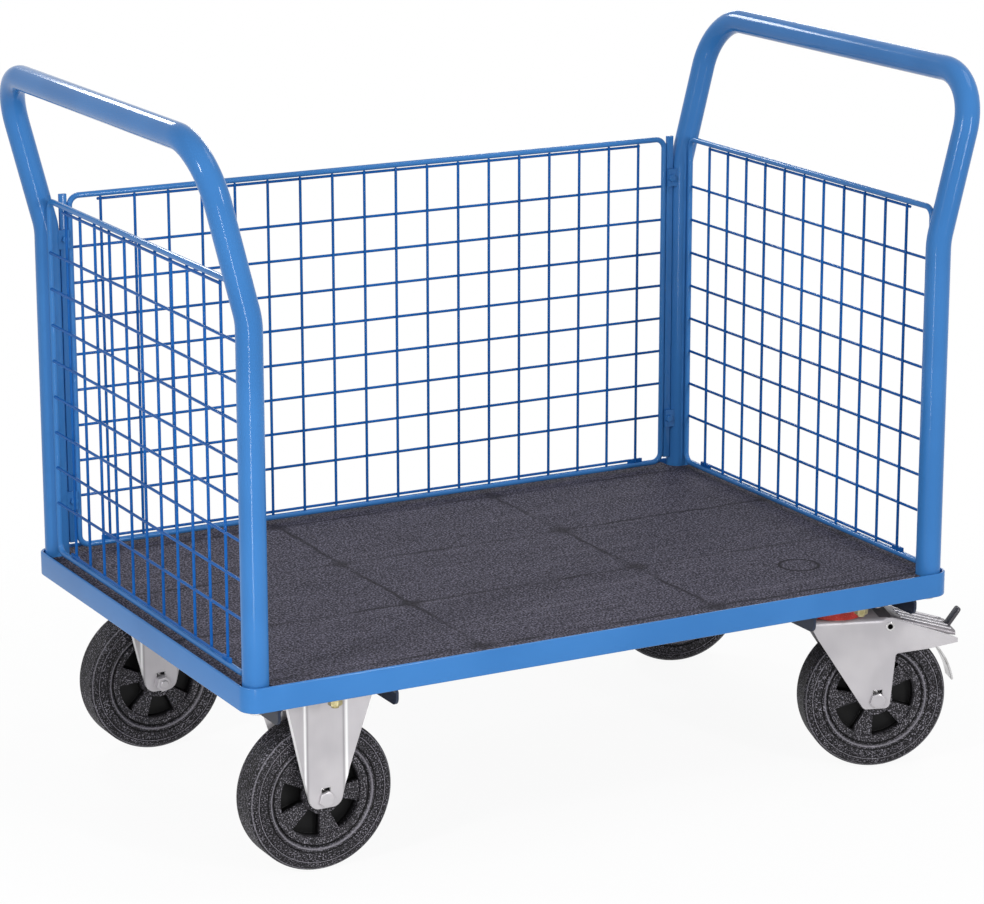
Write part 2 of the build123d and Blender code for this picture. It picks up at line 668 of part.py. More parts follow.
def pedal_under(reach):
    """Height of the underside of the pedal's top plate at a distance in front of the pivot."""
    return pedal_top(reach) - PEDAL_WALL / math.cos(math.radians(PEDAL_SLOPE))


def brake_pedal():
    """Folded pedal: sloped top, two cheeks on the pin and an upright release tab."""
    nose = pedal_top(PEDAL_REACH)
    outline = [
        (PIVOT_U - PEDAL_BACK, PIVOT_Z - PEDAL_HEEL),
        (PIVOT_U - PEDAL_BACK, PIVOT_Z + PEDAL_BACK_RISE),
        (PIVOT_U + PEDAL_CREST, PIVOT_Z + PEDAL_RISE),
        (PIVOT_U + PEDAL_REACH, nose),
        (PIVOT_U + PEDAL_REACH, nose - PEDAL_NOSE),
        (PIVOT_U + PEDAL_HEEL_FRONT, PIVOT_Z - PEDAL_HEEL),
    ]
    half = FORK_GAP / 2 - PEDAL_SIDE_GAP
    pedal = across(side_face(outline, [0] * len(outline)), half)
    back = -2 * PEDAL_BACK
    front = 2 * PEDAL_REACH
    low = PIVOT_Z - PEDAL_REACH
    hollow = [(back, low), (back, pedal_under(back)), (front, pedal_under(front)), (front, low)]
    hollow_face = side_face([(PIVOT_U + u, z) for u, z in hollow], [0] * len(hollow))
    pedal -= across(hollow_face, half - PEDAL_WALL)
    turn = math.radians(TAB_ANGLE)
    rise = Vector(math.cos(turn), math.sin(turn))
    side = Vector(-math.sin(turn), math.cos(turn)) * TAB_WALL
    foot = Vector(PIVOT_U + PEDAL_REACH, nose)
    tip = foot + rise * TAB_LENGTH
    tab = [foot, tip, tip + side, foot + side - rise * TAB_WALL]
    pedal += across(side_face([(p.X, p.Y) for p in tab], [0] * len(tab)), TAB_WIDTH / 2)
    bore = PIN_DIAMETER / 2 + RUNNING_FIT
    return pedal - rod(bore, (PIVOT_U, -half, PIVOT_Z), (PIVOT_U, half, PIVOT_Z))


def brake_leaf():
    """Curved strip that meets the tread when the pedal is down, with a stem to the pedal's top."""
    inner = WHEEL_DIAMETER / 2 + BRAKE_AIR
    outer = inner + LEAF_WALL
    lift = math.radians(BRAKE_TRAVEL)
    arm = Vector(TRAIL - PIVOT_U, AXLE_Z - PIVOT_Z)
    centre = Vector(
        PIVOT_U + arm.X * math.cos(lift) - arm.Y * math.sin(lift),
        PIVOT_Z + arm.X * math.sin(lift) + arm.Y * math.cos(lift),
    )
    start = LEAF_LOW_ANGLE + BRAKE_TRAVEL
    span = LEAF_HIGH_ANGLE - LEAF_LOW_ANGLE
    inside = CenterArc(centre, inner, start, span)
    outside = CenterArc(centre, outer, start, span)
    ends = [Line(inside @ 0, outside @ 0), Line(inside @ 1, outside @ 1)]
    leaf = across(Plane.XZ * make_face([inside, outside] + ends), LEAF_WIDTH / 2)
    middle = CenterArc(centre, (inner + outer) / 2, start, span)
    back = middle @ 1
    front = middle @ (1 - LEAF_STEM_ANGLE / span)
    stem = [
        (back.X, back.Y),
        (front.X, front.Y),
        (front.X, pedal_under(front.X - PIVOT_U)),
        (back.X, pedal_under(back.X - PIVOT_U)),
    ]
    return leaf + across(side_face(stem, [0] * len(stem)), LEAF_WIDTH / 2)


def plate_bolts():
    """Flat-headed bolts through the channels and the caster plates."""
    bolts = []
    tip = PLATE_LOW - PLATE_BOLT * NUT_HEIGHT - BOLT_TIP
    head_top = LEDGE_TOP - LOW_HEAD_GAP
    for x, y in plate_bolt_places():
        shank = rod(PLATE_BOLT / 2, (x, y, tip), (x, y, RAIL_LOW))
        bolts.append(shank + rod(LOW_HEAD_DIAMETER / 2, (x, y, RAIL_LOW), (x, y, head_top)))
    return bolts


def plate_nuts():
    """Nuts under the caster plates."""
    return [hex_nut(PLATE_BOLT, (x, y, PLATE_LOW), (0, 0, -1)) for x, y in plate_bolt_places()]


def plate_bolt_places():
    """Places of the sixteen plate bolts."""
    holes = corners(PLATE_HOLES_X / 2, PLATE_HOLES_Y / 2)
    return [(x + hole_x, y + hole_y) for x, y in corners(CASTER_X, CASTER_Y) for hole_x, hole_y in holes]


def write(name, solids):
    """Write one node, a solid or a group of like solids."""
    shape = Compound(solids) if isinstance(solids, list) else solids
    export_step(shape, f"parts/{name}.step")


def write_wheel(name, axle, spin):
    """Write the tyre, rim and bearing of one wheel at its axle."""
    place = axle * Rot(0, -spin, 0)
    write(f"{name}_tyre", place * tyre())
    write(f"{name}_rim", place * rim())
    write(f"{name}_bearing", place * bearing())


def write_platform():
    """Write the deck, the push bars and the walls."""
    write("deck_frame", deck_frame())
    write("deck_board", deck_board())
    write("left_channel", cross_channel(-CASTER_X))
    write("right_channel", cross_channel(CASTER_X))
    write("channel_bolts", channel_bolts())
    write("channel_nuts", channel_nuts())
    write("left_push_bar", push_bar(-1))
    write("right_push_bar", push_bar(1))
    write("post_plugs", post_plugs())
    write("post_bolts", post_bolts())
    end_border = border_wire(END_WALL_HALF)
    end_mesh = wire_mesh(END_WALL_HALF)
    for name, end in (("left", -1), ("right", 1)):
        write(f"{name}_border_wire", on_end(end, end_border))
        write(f"{name}_mesh", on_end(end, end_mesh))
    write("back_border_wire", on_back(border_wire(BACK_WALL_HALF)))
    write("back_mesh", on_back(wire_mesh(BACK_WALL_HALF)))
    write("wall_strips", wall_strips())
    write("wall_brackets", wall_brackets())
    write("bracket_bolts", bracket_bolts())


def write_fixed_casters():
    """Write the two fixed casters at the left end."""
    places = {"front": (Pos(-CASTER_X, -CASTER_Y, 0), -1), "back": (Pos(-CASTER_X, CASTER_Y, 0), 1)}
    spins = {"front": FRONT_FIXED_SPIN, "back": BACK_FIXED_SPIN}
    for name, (place, side) in places.items():
        write(f"{name}_fixed_fork", place * fixed_fork())
        write_wheel(f"{name}_fixed", place * Pos(0, 0, AXLE_Z), spins[name])
    write("fixed_axle_bolts", [place * axle_bolt(0, side) for place, side in places.values()])
    write("fixed_axle_nuts", [place * axle_nut(0, side) for place, side in places.values()])
    write("fixed_axle_sleeves", [place * axle_sleeve(0) for place, side in places.values()])


def write_swivel_casters():
    """Write the two swivel casters with brakes at the right end."""
    places = {"front": (Pos(CASTER_X, -CASTER_Y, 0), -1), "back": (Pos(CASTER_X, CASTER_Y, 0), 1)}
    spins = {"front": FRONT_SWIVEL_SPIN, "back": BACK_SWIVEL_SPIN}
    for name, (place, head_side) in places.items():
        turned = place * Rot(0, 0, SWIVEL_TURN)
        write(f"{name}_swivel_plate", place * swivel_plate())
        write(f"{name}_swivel_fork", turned * swivel_fork())
        write(f"{name}_swivel_balls", [turned * ball for ball in swivel_balls()])
        write(f"{name}_swivel_axle_bolt", turned * axle_bolt(TRAIL, head_side))
        write(f"{name}_swivel_axle_nut", turned * axle_nut(TRAIL, head_side))
        write(f"{name}_swivel_axle_sleeve", turned * axle_sleeve(TRAIL))
        write(f"{name}_brake_pin", turned * brake_pin())
        write(f"{name}_brake_pedal", turned * brake_pedal())
        write(f"{name}_brake_leaf", turned * brake_leaf())
        write_wheel(f"{name}_swivel", turned * Pos(TRAIL, 0, AXLE_Z), spins[name])
    write("swivel_seals", [place * swivel_seal() for place, side in places.values()])
    write("kingpins", [place * kingpin() for place, side in places.values()])


os.makedirs("parts", exist_ok=True)
write_platform()
write_fixed_casters()
write_swivel_casters()
write("plate_bolts", plate_bolts())
write("plate_nuts", plate_nuts())
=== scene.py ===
"""Looks of a platform trolley with welded mesh walls, built over its CAD model in the same frame."""
import logging
import math
from dataclasses import dataclass
from enum import Enum
from typing import Optional, Sequence

import bmesh
import bpy
import numpy as np
from mathutils import Matrix, Vector


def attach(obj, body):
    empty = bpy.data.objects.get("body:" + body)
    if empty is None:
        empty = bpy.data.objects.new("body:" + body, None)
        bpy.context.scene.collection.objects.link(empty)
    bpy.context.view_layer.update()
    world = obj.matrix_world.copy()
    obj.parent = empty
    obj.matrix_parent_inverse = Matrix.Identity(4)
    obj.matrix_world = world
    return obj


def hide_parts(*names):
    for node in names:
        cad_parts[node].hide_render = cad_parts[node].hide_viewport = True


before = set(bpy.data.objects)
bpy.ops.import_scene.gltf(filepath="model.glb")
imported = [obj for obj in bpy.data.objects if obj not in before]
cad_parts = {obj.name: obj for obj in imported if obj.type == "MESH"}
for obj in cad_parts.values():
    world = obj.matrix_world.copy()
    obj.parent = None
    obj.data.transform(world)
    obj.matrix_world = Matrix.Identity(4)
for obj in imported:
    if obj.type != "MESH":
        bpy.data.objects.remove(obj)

Array = np.ndarray
Pair = tuple[float, float]
Triple = tuple[float, float, float]
Tree = bpy.types.NodeTree
Socket = bpy.types.NodeSocket
MM = 0.001  # metres in a millimetre
RIGHT_ANGLE = math.pi / 2
FAR = 99.0  # millimetres, past any sheet of a caster
BROKEN = 0.8  # millimetres, width of a broken edge
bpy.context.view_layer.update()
log = logging.getLogger("mesh_trolley")


class Slot(Enum):
    """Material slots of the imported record."""

    PAINT = "blue_paint"
    DARK = "dark_paint"
    BOARD = "deck_board"
    ZINC = "zinc_steel"
    YELLOW = "yellow_zinc"
    STEEL = "bright_steel"
    RUBBER = "tyre_rubber"
    PLASTIC = "rim_plastic"
    SEAL = "red_seal"


class End(Enum):
    """Ends of the trolley, by the sign of X: fixed casters at the left, swivel casters at the right."""

    LEFT = -1
    RIGHT = 1


class Side(Enum):
    """Long sides of the trolley, by the sign of Y."""

    FRONT = -1
    BACK = 1


# Surfaces

@dataclass
class Shell:
    """Points in millimetres, the faces between them and, where known, how much painted shade each point gets in the
    hollows.

    Below 0 the value tells how much painted highlight a ridge gets.
    """

    points: Array
    faces: list[list[int]]
    # Share of painted shade at each point, and of painted highlight where below 0.
    painted_shading: Optional[Array] = None

    @staticmethod
    def grid(points: Array, closed_rows: bool = False, closed_columns: bool = False) -> "Shell":
        """Join neighbouring points of a grid by four-sided faces.

        Args:
            points: Grid of points, rows by columns by 3.
            closed_rows: Whether the last row meets the first.
            closed_columns: Whether the last column meets the first.

        Returns:
            The shell.
        """
        rows, columns = points.shape[:2]
        index = np.arange(rows * columns).reshape(rows, columns)
        if closed_rows:
            index = np.vstack([index, index[:1]])
        if closed_columns:
            index = np.hstack([index, index[:, :1]])
        quads = np.stack([index[:-1, :-1], index[1:, :-1], index[1:, 1:], index[:-1, 1:]], axis=-1)
        return Shell(points.reshape(-1, 3), quads.reshape(-1, 4).tolist())

    @staticmethod
    def capped(points: Array) -> "Shell":
        """Join closed rings, one per row, with a face over the first and the last.

        Args:
            points: Rings of points, rows by columns by 3.

        Returns:
            The closed shell.
        """
        shell = Shell.grid(points, closed_columns=True)
        columns = points.shape[1]
        last = len(shell.points) - columns
        shell.faces += [list(range(columns)), list(range(last, last + columns))]
        return shell

    @staticmethod
    def joined(shells: Sequence["Shell"]) -> "Shell":
        """Put several shells into one.

        Args:
            shells: The shells, which keep their own points.

        Returns:
            One shell with all points and faces.
        """
        starts = np.cumsum([0] + [len(shell.points) for shell in shells])
        faces = [[start + i for i in face] for shell, start in zip(shells, starts) for face in shell.faces]
        known = all(shell.painted_shading is not None for shell in shells)
        painted_shading = np.concatenate([shell.painted_shading for shell in shells]) if known else None
        return Shell(np.vstack([shell.points for shell in shells]), faces, painted_shading)

    def without(self, low: Sequence[float], high: Sequence[float]) -> "Shell":
        """Leave out the four-sided faces whose middle lies in a box.

        Args:
            low: Least corner of the box.
            high: Greatest corner of the box.

        Returns:
            The shell with an opening.
        """
        middle = self.points[np.array(self.faces)].mean(axis=1)
        inside = ((middle > low) & (middle < high)).all(axis=1)
        return Shell(self.points, [face for face, gone in zip(self.faces, inside) if not gone], self.painted_shading)


@dataclass(frozen=True)
class Place:
    """A local frame in the trolley: an origin in millimetres and three axes."""

    origin: Triple = (0.0, 0.0, 0.0)
    axes: tuple[Triple, ...] = ((1, 0, 0), (0, 1, 0), (0, 0, 1))

    def point(self, local: Array) -> Array:
        """Local points in the trolley's frame: origin plus each coordinate along its axis."""
        return np.asarray(local, float) @ np.array(self.axes, float) + np.array(self.origin, float)

    def put(self, shell: Shell) -> Shell:
        """A local shell in the trolley's frame."""
        return Shell(self.point(shell.points), shell.faces, shell.painted_shading)

    def seat(self, origin: Sequence[float], ahead: Sequence[float], shell: Shell) -> Shell:
        """Put a shell on a point of this frame, its Z axis along a direction.

        Args:
            origin: The point, in this frame.
            ahead: The direction, in this frame.
            shell: The shell, about its own origin.

        Returns:
            The shell in the trolley's frame.
        """
        z = unit(np.array(ahead, float))
        x = unit(np.cross((0.3, 0.2, 1.0) if abs(z[2]) < 0.9 else (0, 1.0, 0), z))
        axes = np.stack([x, np.cross(z, x), z]) @ np.array(self.axes, float)
        return Place(tuple(self.point(origin)), tuple(map(tuple, axes))).put(shell)


@dataclass(frozen=True)
class Layout:
    """Places that several sub-assemblies share, in millimetres and degrees."""

    caster_at: Pair = (394.0, 262.0)
    post_at: Pair = (502.0, 327.0)
    end_wall_x: float = 505.5
    back_wall_y: float = 323.0
    axle_z: float = 100.0
    trail: float = 55.0
    stance: float = -19.0

    def caster(self, end: End, side: Side) -> Place:
        """Frame on the floor under a caster's plate.

        Args:
            end: End of the trolley.
            side: Long side of the trolley.

        Returns:
            The frame: straight at the fixed end, turned about Z to its stance at the swivel end.
        """
        x, y = self.caster_at
        c, s = cos_sin(self.stance if end is End.RIGHT else 0.0)
        return Place((end.value * x, side.value * y, 0.0), ((c, s, 0), (-s, c, 0), (0, 0, 1)))

    def wheel(self, end: End, side: Side) -> Place:
        """Frame at a wheel's middle, its axle along Y.

        Args:
            end: End of the trolley.
            side: Long side of the trolley.

        Returns:
            The frame, which trails behind the kingpin at the swivel end.
        """
        caster = self.caster(end, side)
        trail = self.trail if end is End.RIGHT else 0.0
        return Place(tuple(caster.point((trail, 0, self.axle_z))), caster.axes)


ROOM = Place()
LAYOUT = Layout()


def cos_sin(degrees: float) -> Pair:
    """Cosine and sine of an angle."""
    return math.cos(math.radians(degrees)), math.sin(math.radians(degrees))


def slope(degrees: float) -> float:
    """Rise for each unit of run at an angle."""
    return math.tan(math.radians(degrees))


def unit(vectors: Array) -> Array:
    """Vectors divided by their lengths."""
    return vectors / np.linalg.norm(vectors, axis=-1, keepdims=True)


def angles(steps: int) -> Array:
    """Angles evenly round a circle."""
    return np.linspace(0, 2 * math.pi, steps, endpoint=False)


def evenly(count: int, pitch: float) -> Array:
    """Numbers at an even pitch about 0."""
    return (np.arange(count) - (count - 1) / 2) * pitch


def spots(x: Array, y: Array, z: Array) -> Array:
    """Points from their coordinates, arrays or single numbers."""
    return np.stack(np.broadcast_arrays(x, y, z), axis=-1)


def about_axis(radius: Array, angle: Array, height: Array) -> Array:
    """Points about the Z axis: (r cos a, r sin a, h)."""
    return spots(radius * np.cos(angle), radius * np.sin(angle), height)


def circles(across: Array, over: Array, sides: int) -> Array:
    """Unit circle for each pair of directions: cos a across + sin a over."""
    a = angles(sides)[None, :, None]
    return np.cos(a) * across[:, None] + np.sin(a) * over[:, None]


def smooth_step(low: float, high: float, value: Array) -> Array:
    """Soft step from 0 at low to 1 at high: t squared times (3 - 2t)."""
    t = np.clip((value - low) / (high - low), 0, 1)
    return t * t * (3 - 2 * t)


def bells(value: Array, width: float, *middles: float) -> Array:
    """Sum of bells of height 1: e to the power of minus the squared distance from each middle in widths."""
    return sum(np.exp(-((value - middle) / width) ** 2) for middle in middles)


def rounded(corners: Array, radii: Sequence[float], steps: int) -> Array:
    """Turn each corner of a polyline into an arc.

    The arc touches both sides at radius / tan(half the inner angle) from the corner. Its points lie about
    the centre as the mix of the two touching arms weighted by sin((1 - a) turn) and sin(a turn).

    Args:
        corners: Corner points, in two or three dimensions.
        radii: Radius at each corner, 0 where it stays sharp.
        steps: Points on each arc.

    Returns:
        The points in order, without repeats.
    """
    corners = np.asarray(corners, float)
    radius = np.asarray(radii, float)[:, None]
    back = unit(np.roll(corners, 1, 0) - corners)
    ahead = unit(np.roll(corners, -1, 0) - corners)
    half = np.arccos(np.clip((back * ahead).sum(1, keepdims=True), -0.999999, 0.999999)) / 2
    turn = math.pi - 2 * half
    reach = radius / np.tan(half)
    centre = corners + unit(back + ahead + 1e-12) * radius / np.sin(half)
    first = corners + back * reach - centre
    last = corners + ahead * reach - centre
    a = np.linspace(0, 1, steps)[None, :, None]
    weight = np.sin(turn)[:, None]
    arcs = np.sin((1 - a) * turn[:, None]) / weight * first[:, None]
    arcs = centre[:, None] + arcs + np.sin(a * turn[:, None]) / weight * last[:, None]
    points = arcs.reshape(-1, corners.shape[1])
    keep = np.linalg.norm(points - np.roll(points, 1, 0), axis=1) > 1e-6
    return points[keep]


def box_outline(low: Pair, high: Pair, radii: Sequence[float], steps: int) -> Array:
    """Rectangle with rounded corners, counter-clockwise from its least corner.

    Args:
        low: Least corner.
        high: Greatest corner.
        radii: Radius at each corner.
        steps: Points on each arc.

    Returns:
        The points in order.
    """
    (x, y), (far_x, far_y) = low, high
    return rounded([(x, y), (far_x, y), (far_x, far_y), (x, far_y)], radii, steps)


def tube(path: Array, radius: float, sides: int, guide: Sequence[float], closed: bool = False) -> Shell:
    """Carry a circle along a path: point = path + radius (cos a across + sin a over).

    The tangent is the mean way of the two runs that meet, across is the guide made square to it, and over
    is their cross product.

    Args:
        path: Points of the centre line.
        radius: Radius of the bar.
        sides: Points round the circle.
        guide: Direction that the path never runs along.
        closed: Whether the path meets its own start.

    Returns:
        The shell, with flat ends where the path is open.
    """
    runs = unit(np.roll(path, -1, 0) - path)
    ahead = unit(runs + np.roll(runs, 1, 0))
    if not closed:
        ahead[0], ahead[-1] = runs[0], runs[-2]
    guide = np.asarray(guide, float)
    across = unit(guide - (ahead @ guide)[:, None] * ahead)
    points = path[:, None] + radius * circles(across, np.cross(ahead, across), sides)
    return Shell.grid(points, True, True) if closed else Shell.capped(points)


def wires(starts: Array, ends: Array, radius: float, sides: int) -> Shell:
    """Straight round wires with broken end edges, all worked out as one array.

    Each wire has four rings: at its end planes with 0.7 of the radius, and a third of the radius further in
    with the full radius.

    Args:
        starts: Start point of each wire.
        ends: End point of each wire.
        radius: Radius of the wires.
        sides: Points round each wire.

    Returns:
        One shell with all wires.
    """
    ahead = unit(ends - starts)
    guide = np.where(np.abs(ahead[:, 2:]) > 0.5, (1.0, 0.0, 0.0), (0.0, 0.0, 1.0))
    across = unit(np.cross(ahead, guide))
    circle = circles(across, np.cross(ahead, across), sides)
    step = ahead * radius / 3
    centres = np.stack([starts, starts + step, ends - step, ends], axis=1)
    size = radius * np.array([0.7, 1.0, 1.0, 0.7])
    points = centres[:, :, None] + size[None, :, None, None] * circle[:, None]
    return Shell.joined([Shell.capped(wire) for wire in points])


def turned(profile: Array, steps: int, closed: bool = True) -> Shell:
    """Turn a profile of (radius, height) about the Z axis.

    Args:
        profile: Radius and height of each point.
        steps: Points round the axis.
        closed: Whether the profile meets its own start.

    Returns:
        The shell.
    """
    radius, height = profile.T
    return Shell.grid(about_axis(radius, angles(steps)[:, None], height), True, closed)


def plate(outline: Array, low: float, high: float, edge: float) -> Shell:
    """Flat plate over an outline that runs counter-clockwise, with quarter rounds along both edges.

    Rings follow the round: inset edge (1 - sin a), height edge (1 - cos a), for a from 0 to a right angle.
    Each corner moves inwards along its mitre.

    Args:
        outline: Outline in X and Y.
        low: Height of the lower face.
        high: Height of the upper face.
        edge: Radius of the rounds.

    Returns:
        The closed shell.
    """
    ahead = unit(np.roll(outline, -1, 0) - outline)
    left = np.stack([-ahead[:, 1], ahead[:, 0]], axis=1)
    before = np.roll(left, 1, 0)
    mitre = (left + before) / (1 + (left * before).sum(1, keepdims=True))
    a = np.linspace(0, RIGHT_ANGLE, 4)
    depth = edge * (1 - np.sin(a))
    rise = edge * (1 - np.cos(a))
    depths = np.concatenate([depth, depth[::-1]])[:, None]
    heights = np.concatenate([low + rise, high - rise[::-1]])[:, None]
    return Shell.capped(spots(outline[:, 0] + depths * mitre[:, 0], outline[:, 1] + depths * mitre[:, 1], heights))


def hex_prism(flats: float, height: float) -> Shell:
    """Hexagonal head with a turned chamfer: its edge drops by the radius past 0.95 flats, at 30 degrees.

    The hexagon's radius is half the flats over cos of the angle to the nearest flat.

    Args:
        flats: Width across flats.
        height: Height of the head.

    Returns:
        The closed shell, seat at Z = 0.
    """
    a = angles(48)
    radius = flats / 2 / np.cos((a + math.pi / 6) % (math.pi / 3) - math.pi / 6)
    crown = 0.475 * flats
    shoulder = height - np.maximum(radius - crown, 0) * slope(30)
    rings = [(radius, 0.0), (radius, shoulder), (crown, height), (0.8 * crown, height)]
    return Shell.capped(np.stack([about_axis(r, a, h) for r, h in rings]))


def threaded(radius: float, low: float, high: float, pitch: float = 1.5) -> Shell:
    """Threaded bar: radius less a triangle wave of 0.35 pitch, drawn in at both ends.

    Args:
        radius: Outer radius.
        low: Height of the start.
        high: Height of the end.
        pitch: Distance between crests.

    Returns:
        The closed shell about the Z axis.
    """
    height = np.arange(low, high, pitch / 4)[:, None]
    wave = np.abs((height / pitch) % 1 - 0.5) * 2
    edge = np.minimum(height - low, high - height)
    size = radius - 0.35 * pitch * wave - np.clip(pitch - edge, 0, pitch) * 0.5
    return Shell.capped(about_axis(size, angles(20), height))


def folded_sheet(along: Array, low: Array, top: Array, half: float, bend: float, close: Optional[Array] = None,
                 rise: Sequence[float] = (0, 0.2, 0.4, 0.6, 0.8, 1)) -> Shell:
    """Sheet folded to an upside-down U: two flanges, two bends and a web between them.

    Across the sheet a flange rises from its lower edge to bend below the top, the bend follows a quarter
    circle, and the web runs level to the other side. Where close is under 1 the bend opens: its inward
    reach shrinks by that factor.

    Args:
        along: Stations along the sheet.
        low: Height of the flanges' lower edge at each station.
        top: Height of the web at each station.
        half: Half the distance between the flanges.
        bend: Radius of the bends.
        close: How far the bend is closed at each station, 0 to 1, or none where it is closed with a web.
        rise: Shares of the flange's height at which its points lie.

    Returns:
        The open sheet, for a Solidify modifier. X along, Y across, Z up.
    """
    knee = (top - bend)[:, None]
    flange = low[:, None] + np.array(rise) * (knee - low[:, None])
    a = np.linspace(0, RIGHT_ANGLE, 7)[1:]
    reach = bend if close is None else bend * close[:, None]
    y = np.hstack([np.full_like(flange, half), half - reach * (1 - np.cos(a)) + 0 * knee])
    one = spots(along[:, None], y, np.hstack([flange, knee + bend * np.sin(a)]))
    other = one[:, ::-1] * (1, -1, 1)
    if close is None:
        return Shell.grid(np.concatenate([one, other], axis=1))
    return Shell.joined([Shell.grid(one), Shell.grid(other)])


# Finishes

SOFT = {"interpolation_type": "SMOOTHSTEP"}  # a range with a soft step
COLOURS = {"data_type": "RGBA", "output": 2}  # a mix of colours


def to_linear(code: str) -> tuple[float, float, float, float]:
    """Linear colour of an sRGB hex value: c / 12.92 up to 0.04045, else ((c + 0.055) / 1.055) to 2.4."""
    values = [int(code[i:i + 2], 16) / 255 for i in (1, 3, 5)]
    return (*(c / 12.92 if c <= 0.04045 else ((c + 0.055) / 1.055) ** 2.4 for c in values), 1.0)


def set_inputs(tree: Tree, node: bpy.types.Node, inputs: dict) -> None:
    """Link or set inputs of a node.

    Args:
        tree: Node tree of the node.
        node: The node.
        inputs: By input, a socket to link, an sRGB hex value or another constant.
    """
    for name, value in inputs.items():
        if isinstance(value, Socket):
            tree.links.new(value, node.inputs[name])
        else:
            node.inputs[name].default_value = to_linear(value) if isinstance(value, str) else value


def add_node(tree: Tree, kind: str, inputs: Optional[dict] = None, output: int | str = 0,
             **settings: str) -> Socket:
    """Add a shader node with its settings and links.

    Args:
        tree: Node tree to add to.
        kind: Blender's name of the node type, without the ShaderNode before it.
        inputs: What its inputs get, as for set_inputs.
        output: The output wanted.
        **settings: Settings of the node itself.

    Returns:
        The output socket.
    """
    node = tree.nodes.new("ShaderNode" + kind)
    for name, value in settings.items():
        setattr(node, name, value)
    set_inputs(tree, node, inputs or {})
    return node.outputs[output]


def noise(tree: Tree, size: float, stretch: Triple = (1, 1, 1), detail: float = 2.0, output: int = 0) -> Socket:
    """Noise on Object coordinates, its scale per metre worked out from the size of a grain.

    Args:
        tree: Node tree to add to.
        size: Size of a grain in millimetres.
        stretch: Factor on each axis, under 1 where the grain is long.
        detail: Finer layers added.
        output: 0 for a value, 1 for three values.

    Returns:
        The noise's socket.
    """
    place = add_node(tree, "TexCoord", output="Object")
    scaled = add_node(tree, "Mapping", {"Vector": place, "Scale": stretch})
    return add_node(tree, "TexNoise", {"Vector": scaled, "Scale": 1000 / size, "Detail": detail}, output)


def patches(tree: Tree, size: float, limits: Pair, results: Pair = (0.0, 1.0), stretch: Triple = (1, 1, 1),
            detail: float = 2.0) -> Socket:
    """Patches with soft edges: a soft step of noise between two limits, to two results.

    Args:
        tree: Node tree to add to.
        size: Size of a patch in millimetres.
        limits: Values of the noise where the step starts and ends.
        results: Values before and after the step.
        stretch: Factor on each axis, under 1 where the patches are long.
        detail: Finer layers added.

    Returns:
        The value's socket.
    """
    (low, high), (first, last) = limits, results
    source = noise(tree, size, stretch, detail)
    return add_node(tree, "MapRange", {0: source, 1: low, 2: high, 3: first, 4: last}, **SOFT)


def shade_and_highlight(tree: Tree, colour: Socket, deep: str, painted_highlight: str) -> Socket:
    """Paint shade into a colour in the hollows and paint highlights on the ridges that the mesh's attribute marks.

    Args:
        tree: Node tree to add to.
        colour: Colour of the open face, where the attribute is 0.
        deep: Colour of the painted shade, where it is 1.
        painted_highlight: Colour of the painted highlight, where it is -1.

    Returns:
        The colour's socket.
    """
    # The attribute gives painted shade above 0 and painted highlight below 0.
    depth = add_node(tree, "Attribute", output="Fac", attribute_name="painted_shading")
    ridge = add_node(tree, "Math", {0: depth, 1: -1.0}, operation="MULTIPLY")
    dark = add_node(tree, "Mix", {0: depth, 6: colour, 7: deep}, **COLOURS)
    return add_node(tree, "Mix", {0: ridge, 6: dark, 7: painted_highlight}, **COLOURS)


@dataclass(frozen=True)
class Finish:
    """A finish in two tones: one material that all pieces with it share."""

    name: str
    slot: Slot
    colour: str
    second: str

    def material(self) -> bpy.types.Material:
        """Make the material at its first use.

        Returns:
            The material.
        """
        made = bpy.data.materials.get(self.name)
        if made is None:
            made = bpy.data.materials.new(self.name)
            made.use_nodes = True
            tree = made.node_tree
            set_inputs(tree, tree.nodes["Principled BSDF"], self.sockets(tree))
        return made

    def sockets(self, tree: Tree) -> dict:
        """Add the finish's patterns.

        Args:
            tree: Node tree to add to.

        Returns:
            What the shader's inputs get.
        """
        raise NotImplementedError

    def tones(self, tree: Tree, share: Socket) -> Socket:
        """The two tones, mixed by a share."""
        return add_node(tree, "Mix", {0: share, 6: self.colour, 7: self.second}, **COLOURS)


@dataclass(frozen=True)
class PowderCoat(Finish):
    """Polyester powder coat baked on steel: an even colour, a smooth thin gloss and a fine orange peel."""

    specular: float = 0.14

    def sockets(self, tree: Tree) -> dict:
        """Broad clouds of 140 mm in the colour and an orange peel of 2.5 mm under an even gloss.

        Args:
            tree: Node tree to add to.

        Returns:
            What the shader's inputs get.
        """
        peel = noise(tree, 2.5, detail=1.0)
        return {"Base Color": self.tones(tree, patches(tree, 140.0, (0.35, 0.65))),
                "Roughness": 0.13,
                "Specular IOR Level": self.specular,
                "Normal": add_node(tree, "Bump", {"Height": peel, "Distance": 0.03 * MM, "Strength": 0.08})}


